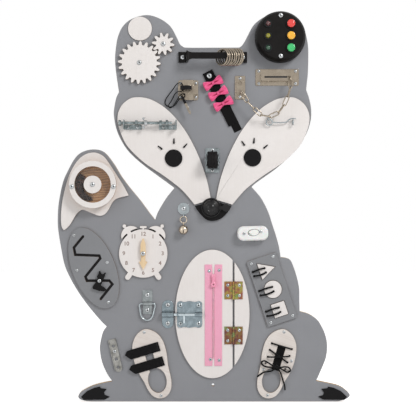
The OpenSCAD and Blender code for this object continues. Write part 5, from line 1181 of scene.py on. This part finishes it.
stained_wood = finish("stained_wood", bare_wood, relief=0.0001, scale=(0.55, 1, 1.5), turn=(0, 0.9, 0))
ring_back = board_front - 19.2 * mm
screw_size = 12 * mm
dish = keep_only(bare_copy("spinner_case", "spinner_dish"), lambda low, high: high.x - low.x > screw_size)
coat(ease(dish, 0.35, 3), (stained_wood, white_paint, lasered_edge),
     lambda middle, normal: 0 if middle.y > ring_back else 1 if normal.y < -0.5 else 2)
fit_out(dish, "spinner", "oiled_walnut", "spinner_case")
screws_at("ear_screws", [box for box in islands("spinner_case") if box[1].x - box[0].x < screw_size], zinc,
          "spinner", "zinc_screw", "spinner_case")
acrylic = plastic("acrylic", "f2f5f4", "fafbfa", 0.04, 0.00001,
                  {"Alpha": 0.03, "IOR": 1.49, "Specular IOR Level": 0.2}, 0.1)
dress("spinner_window", "clear_window", "spinner", "clear_window_acrylic", (acrylic,), width=0.2)

# The seeds lie in a heap to one side, each a small dark grain turned its own way.
seed_coat, given, result = new_effect("seed_coat", Husk=tone("1c100f"), Warm=tone("65392e"))
each_seed = cloud(seed_coat, given["Vector"], 420, 1)
wrinkle = cloud(seed_coat, given["Vector"], 2600, 3)
show(seed_coat, result, mixed(seed_coat, between(seed_coat, each_seed, 0.45, 0.72), given["Husk"],
                              given["Warm"]),
     between(seed_coat, wrinkle, 0.3, 0.7, 0.45, 0.7), wrinkle)
seed_skin = finish("seed_skin", seed_coat, relief=0.0001, shader={"Specular IOR Level": 0.1})
deselect()
bpy.ops.mesh.primitive_ico_sphere_add(subdivisions=2, radius=1)
pattern_seed = bpy.context.object
dice = random.Random(7)
seed_pitch = 2.1
spinner_frame = on_board(-228.6, 384.1)
seeds = []
for layer in range(3):
    for row in range(-16, 17):
        for column in range(-16, 17):
            x = (column + 0.5 * (row % 2) + 0.33 * layer) * seed_pitch + dice.uniform(-0.3, 0.3)
            y = (row + 0.5 * layer) * seed_pitch * 0.87 + dice.uniform(-0.3, 0.3)
            away, way = math.hypot(x, y), math.degrees(math.atan2(y, x)) % 360
            inner = 18.6 + max(0, 6 * (way - 180) / 84) + max(0, way - 262)
            if 136 + max(0, away - 22) * 0.3 < way < 278 and inner < away < 33:
                seed = copy_of(pattern_seed.data, "seed")
                turn = Matrix.Rotation(dice.uniform(0, math.pi), 4, "Z")
                turn = turn @ Matrix.Rotation(dice.uniform(-0.5, 0.5), 4, "Y")
                seed.data.transform(Matrix.Translation((x, y, 8.8 + 3 * layer + dice.uniform(-0.4, 0.6)))
                                    @ turn @ Matrix.Diagonal((1.3, 0.95, 0.9, 1)))
                seeds.append(seed)
bpy.data.objects.remove(pattern_seed)
heap = coat(put(joined(seeds, "seed_heap"), spinner_frame, "seed_heap"), (seed_skin,))
bpy.ops.object.shade_smooth()
fit_out(heap, "spinner", "dark_seed_wood", "spinner_seeds")

# ======== Maze and its cat
# An oval plate of 4 mm plywood in the grey of the board, with a winding slot cut through it over a
# thin black sheet on the board. Four small screws hold it. The cat's screw rides in the slot.
plate_grey = paint("plate_grey", "838487", "7b7c7f", 0.15, 0.00006)
burnt_edge = finish("burnt_edge", ply_edge, relief=0.0001, Veneer=1.3 * mm, Burn=0.95)
dress("maze_plate", "maze_board", "board", "pale_grey_painted_plywood", (plate_grey, burnt_edge), sawn, 0.3,
      segments=3)
black_stain = paint("black_stain", "161516", "1e1c1d", 0.4, 0.00008, shader={"Specular IOR Level": 0.15})


def stained_ground(name, frame_at, half_width, half_height, node, slot):
    """A thin black oval sheet on the board, under the slots of a plate, that makes the slots read black."""
    deselect()
    bpy.ops.mesh.primitive_cylinder_add(vertices=64, radius=1, depth=0.3, location=(0, 0, 0.2),
                                        scale=(half_width, half_height, 1))
    ground = coat(put(bpy.context.object, frame_at, name), (black_stain,))
    return fit_out(ground, "board", slot, node)


stained_ground("maze_ground", on_board(-228.6, 224.5, 22), 37, 78, "maze_plate", "pale_grey_painted_plywood")
cat_size = 9 * mm
cat = keep_only(bare_copy("maze_cat", "cat"), lambda low, high: high.z - low.z > cat_size)
fit_out(coat(ease(cat, 0.3), (black_paint,)), "maze_cat", "black_painted_plywood", "maze_cat")
screws_at("cat_screw", [box for box in islands("maze_cat") if box[1].z - box[0].z < cat_size], zinc,
          "maze_cat", "zinc_screw", "maze_cat")

# ======== Clock
# A toy alarm clock cut from 4 mm plywood and painted white, with engraved brown numerals. Two birch
# hands turn on its middle screw.
clock_at = (-133.6, 252.4)
dress("clock_plate", "clock_face", "board", "white_painted_plywood", (white_paint, burnt_edge), sawn)
bell_out = 41.2
# A thin black sheet under each bell slot makes the slot read black.
for turn in (55.3, 124.7):
    way = math.radians(turn)
    spot = on_board(clock_at[0] + bell_out * math.cos(way), clock_at[1] + bell_out * math.sin(way))
    stained_ground("clock_ground", spot, 17, 17, "clock_plate", "white_painted_plywood")
engraved = paint("engraved", "8c7a74", "9c8a82", 0.6, 0.0001)
numeral_ring = 37.2
numerals = []
for hour in range(1, 13):
    way = math.radians(90 - 30 * hour)
    deselect()
    bpy.ops.object.text_add()
    numeral = bpy.context.object
    numeral.data.body = str(hour)
    numeral.data.size = 10.4
    numeral.data.offset = 0.26
    numeral.data.align_x = "CENTER"
    numeral.data.align_y = "CENTER"
    numeral.data.extrude = 0.05
    bpy.ops.object.convert(target="MESH")
    numerals.append(put(bpy.context.object, on_board(clock_at[0] + numeral_ring * math.cos(way),
                                                     clock_at[1] + numeral_ring * math.sin(way), 0, 4.03),
                        "numeral"))
fit_out(coat(joined(numerals, "clock_numerals"), (engraved,)), "board", "white_painted_plywood",
        "clock_plate")
birch = finish("birch", bare_wood, relief=0.00006, Pale=tone("ecd2ab"), Dark=tone("ddbb8e"), Rings=0.35,
               Pitch=700.0, scale=(1, 1, 0.2))
for node in ("minute_hand", "hour_hand"):
    dress(node, node + "_birch", node, "natural_birch_plywood", (birch,), width=0.2)

# ======== Lashing plate and its ring
# A pressed zinc-plated plate with two screws. The steel D ring turns in the rolled middle of it.
lash_zinc = metal("lash_zinc", "939899", "4f5556", 0.5, 0.26, 0.00002)
dress("lashing_plate", "lash_plate", "board", "zinc_lashing_steel", (lash_zinc,), width=0.15, angle=70)
dress("d_ring", "steel_d_ring", "d_ring", "zinc_lashing_steel", (bright_zinc,), width=0.1, angle=50)

# ======== Belly door
# The larger part of the white oval is a door of 3.6 mm plywood on two hinges.
dress("door_panel", "belly_door", "door", "white_painted_plywood", (white_paint, burnt_edge), sawn)

# ======== Hinges
# Two small butt hinges of stamped steel, yellow-passivated, which gives them rainbow patches. One
# leaf of each is screwed to the fixed strip and the other to the door.
passivated, given, result = new_effect("passivated", Olive=tone("94894c"), Rust=tone("94683f"),
                                       Wine=tone("80504c"), Green=tone("71864f"), Polish=0.22)
patch = cloud(passivated, given["Vector"], 60, 3, 0.6)
second = cloud(passivated, stretch(passivated, given["Vector"], (1, 1, 1), turn=(0.7, 0.4, 1.1)), 110, 2)
film = mixed(passivated, between(passivated, patch, 0.45, 0.58), given["Olive"], given["Rust"])
film = mixed(passivated, between(passivated, second, 0.5, 0.62), film, given["Wine"])
film = mixed(passivated, between(passivated, second, 0.42, 0.34), film, given["Green"])
show(passivated, result, film,
     sums(passivated, "ADD", given["Polish"], between(passivated, patch, 0.3, 0.7, 0, 0.12)),
     sums(passivated, "MULTIPLY", cloud(passivated, given["Vector"], 900, 3), 0.6))
yellow_zinc = finish("yellow_zinc", passivated, relief=0.00003, shader=metal_ware)
brown_zinc = finish("brown_zinc", passivated, relief=0.00003, Olive=tone("77603f"), Rust=tone("754c3a"),
                    Wine=tone("62403f"), Green=tone("6f7f52"), shader=metal_ware)
hinge_split = 138 * mm
fixed = bare_copy("hinge_fixed_leaves", "fixed_leaves", whole=False)
bpy.ops.object.shade_smooth_by_angle(angle=math.radians(35))
coat(fixed, (yellow_zinc, brown_zinc), lambda middle, normal: 0 if middle.z > hinge_split else 1)
fit_out(fixed, "board", "yellow_zinc_hinge_steel", "hinge_fixed_leaves")

# ======== Bolt
# A small tower bolt of blue-passivated steel: a plate with a raised guide on the door, the round
# bolt with its flat handle, and the keeper on the board.
bolt_zinc = metal("bolt_zinc", "88949a", "4a5559", 0.5, 0.22, 0.00002)
bolt_bright = metal("bolt_bright", "bfc9cd", "7c898e", 0.3, 0.16, 0.00001)
fittings = keep_only(bare_copy("door_fittings", "hinge_leaves_and_bolt_plate"),
                     lambda low, high: high.x - low.x > screw_size)
coat(ease(fittings, 0.3, 3, angle=35), (bolt_zinc, yellow_zinc, brown_zinc),
     lambda middle, normal: 0 if middle.x < 0 else 1 if middle.z > hinge_split else 2)
fit_out(fittings, "door", "zinc_bolt_steel", "door_fittings")
screws_at("door_screws", [box for box in islands("door_fittings") if box[1].x - box[0].x < screw_size],
          bright_zinc, "door", "zinc_screw", "door_fittings")
dress("bolt_rod", "sliding_bolt", "bolt", "zinc_bolt_steel", (bolt_bright,), width=0.4, segments=3)
dress("bolt_keeper", "keeper", "board", "zinc_bolt_steel", (bolt_zinc,), width=0.4, segments=3)

# ======== Zip
# A chunky moulded zip with pink tapes, screwed down at its four ends. Its teeth are moulded onto the
# edges of the tapes and mesh along the middle.
zip_frame = on_board(0.8, 134.2)
zip_weave = finish("zip_weave", weave, relief=0.00012, Yarn=tone("fbbcd1"), Gap=tone("f09fbc"),
                   Across=0.9 * mm, Along=0.7 * mm, Fuzz=0.2, shader=cloth_ware)
tape_half = 97
tape_out = 16.8
for side, name in ((-1, "left_zip_tape"), (1, "right_zip_tape")):
    def tape_sides(along, side=side):
        """The tape flares outwards a little at its open top end."""
        flare = max(0, along - 80) * 0.05
        outer, inner = tape_out - 0.35 + 0.5 * flare, 1.9 + flare
        return (-outer, -inner) if side < 0 else (inner, outer)

    tape = laid_band(name, zip_frame, 0, 0, -tape_half, tape_half, 4.02, 1.3, zip_weave, 0.1, tape_sides,
                     ("door", "pink_zip_fabric", "zip_tape"))
zip_plastic = plastic("zip_plastic", "f9bacd", "fdcbd9", 0.3, 0.00002,
                      {"Subsurface Weight": 0.1, "Subsurface Scale": 0.001})
tooth_pitch = 2.0
tooth_rows = []


def in_row(piece, count, step):
    """So many of the piece stand in a row, a step apart."""
    modify(piece, "ARRAY", count=count, use_relative_offset=False, use_constant_offset=True,
           constant_offset_displace=step)
    apply_all(piece)
    return piece


for side in (-1, 1):
    deselect()
    bpy.ops.mesh.primitive_cube_add(size=1, scale=(2.7, 0.9, 2.2),
                                    location=(side * 1.05, -82.4 + (side > 0) * tooth_pitch / 2, 5.2))
    tooth = settle(bpy.context.object, "tooth")
    modify(tooth, "BEVEL", width=0.22, segments=2)
    tooth_rows.append(in_row(tooth, 77, (0, tooth_pitch, 0)))
teeth = coat(put(joined(tooth_rows, "zip_teeth"), zip_frame, "zip_teeth"), (zip_plastic,))
bpy.ops.object.shade_smooth_by_angle(angle=math.radians(40))
fit_out(teeth, "door", "pink_zip_fabric", "zip_tape")
zip_enamel = plastic("zip_enamel", "ee8fae", "f7a9c1", 0.16, 0.00001,
                     {"Coat Weight": 0.6, "Coat Roughness": 0.1})
dress("zip_slider", "slider_and_pull", "zip_slider", "pink_zip_enamel", (zip_enamel,), width=0.45, segments=3)

# ======== Rocker switch
# A white plastic cord switch with rounded shoulders, screwed to the board through its face.
switch_plastic = plastic("switch_plastic", "eeedeb", "f6f5f3", 0.24, 0.00002,
                         {"Coat Weight": 0.4, "Coat Roughness": 0.15, "Subsurface Weight": 0.1,
                          "Subsurface Scale": 0.002})
dress("switch_body", "switch_shell", "board", "white_switch_plastic", (switch_plastic,), width=1.1,
      segments=4)
dress("switch_rocker", "rocker", "switch_rocker", "white_switch_plastic", (switch_plastic,), width=0.6,
      segments=3, angle=25)

# ======== Shape plate and its three shapes
# A plate of 4 mm plywood with a triangle, a round and a square cut out of it. The three shapes lift
# out, and each is tied to the plate by two soft black cords through holes.
dress("shape_plate", "shape_holder", "board", "pale_grey_painted_plywood", (plate_grey, burnt_edge), sawn,
      0.3, segments=3)
shape_turn = 18.4
shape_frame = on_board(112.8, 183, shape_turn)
tie_braid = finish("tie_braid", braid, relief=0.00015, coords="UV", Along=24.0, Strand=tone("111112"),
                   shader={"Sheen Weight": 0.1, "Specular IOR Level": 0.1})
tie_width = 3.5 * mm
tie_hole = -24
tie_flat = 9.3
for kind, end, rows, lengths in (("triangle", -0.6, (43.8, 35.2), (0.042, 0.042)),
                                 ("circle", 2, (5.2, -3.6), (0.045, 0.045)),
                                 ("square", 1.7, (-36.2, -45.2), (0.045, 0.045))):
    node = "shape_" + kind
    cut_out = coat(ease(bare_copy(node, node + "_block"), 0.25), (white_paint, lasered_edge), sawn)
    keep_only(cut_out, lambda low, high: board_front - 1 * mm < high.y < board_front + 2 * mm)
    fit_out(cut_out, node, "white_painted_plywood", node)
    for number, (row, length) in enumerate(zip(rows, lengths)):
        bow = 0.9 - 1.8 * number
        route = [shape_frame @ Vector(spot) for spot in (
            (tie_hole, row, -9), (tie_hole, row, 1), (tie_hole, row, 5.2),
            (tie_hole + 2.6, row + 0.3 * bow, tie_flat - 1.6), (tie_hole + 8, row + bow, tie_flat),
            (end - 7, row + bow, tie_flat), (end - 2.2, row + 0.4 * bow, tie_flat - 0.5),
            (end - 0.2, row, tie_flat - 2), (end, row, 4.7))]
        tie = free_line(f"{kind}_tie_{number + 1}", route, tie_width, node, "black_lace_cord", node,
                        tie_braid)
        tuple(route[2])

# ======== Shoe plates
# Two shoe soles laser-cut from 4 mm plywood and washed thinly with white, so that the grain shows.
# Each has a cut-out for the tongue and a heel hole.
washed_wood = paint("washed_wood", "e6dfd9", "d3c8c0", 0.55, 0.00012, turn=(0, 1.25, 0))
dress("shoe_plates", "shoe_soles", "board", "white_painted_plywood", (washed_wood, lasered_edge), sawn, 0.3)

# ======== Straps of the left shoe
# Two pointed hook-and-loop straps of black felt, sewn down at the right end and closed over the shoe.
strap_len = 68
strap_side = 9
strap_angle = 16.7
thread_grey = finish("thread_grey", braid, relief=0.00005, Strand=tone("4a494b"), Gap=tone("2a292a"))


def strap_sides(along):
    """The strap is straight up to its slanted point."""
    right = strap_side if along < strap_len - 6 else strap_side - (along - strap_len + 6) / 6 * 6.8
    left = -strap_side if along < strap_len - 9 else -strap_side + (along - strap_len + 9) / 9 * 11.2
    return left, right


for node, x, z in (("shoe_strap_upper", -103, 74.9), ("shoe_strap_lower", -94.6, 47.2)):
    strap_at = on_board(x, z, strap_angle + 90)
    strap = laid_band(node + "_felt", strap_at, 0, 0, 0, strap_len - 0.2, 4.42, 1.6, black_felt, 0.08,
                      strap_sides, (node, "black_strap_felt", node))
    deselect()
    bpy.ops.mesh.primitive_cube_add(size=1, scale=(1.5, 0.36, 0.2), location=(-7.2, 3.4, 6.1))
    stitch = settle(bpy.context.object, "stitch")
    coat(put(in_row(stitch, 7, (2.4, 0, 0)), strap_at, node + "_stitches"), (thread_grey,))
    fit_out(stitch, node, "black_strap_felt", node)

# ======== Turning steel channel
# A short piece of galvanised steel channel with punched holes. It turns about its screw.
galvanised = metal("galvanised", "9b9a96", "53524d", 0.7, 0.32, 0.00005)
dress("steel_bar", "steel_channel", "steel_bar", "zinc_channel_steel", (galvanised,), width=0.35, segments=3)
bpy.data.objects.remove(pattern_screw)
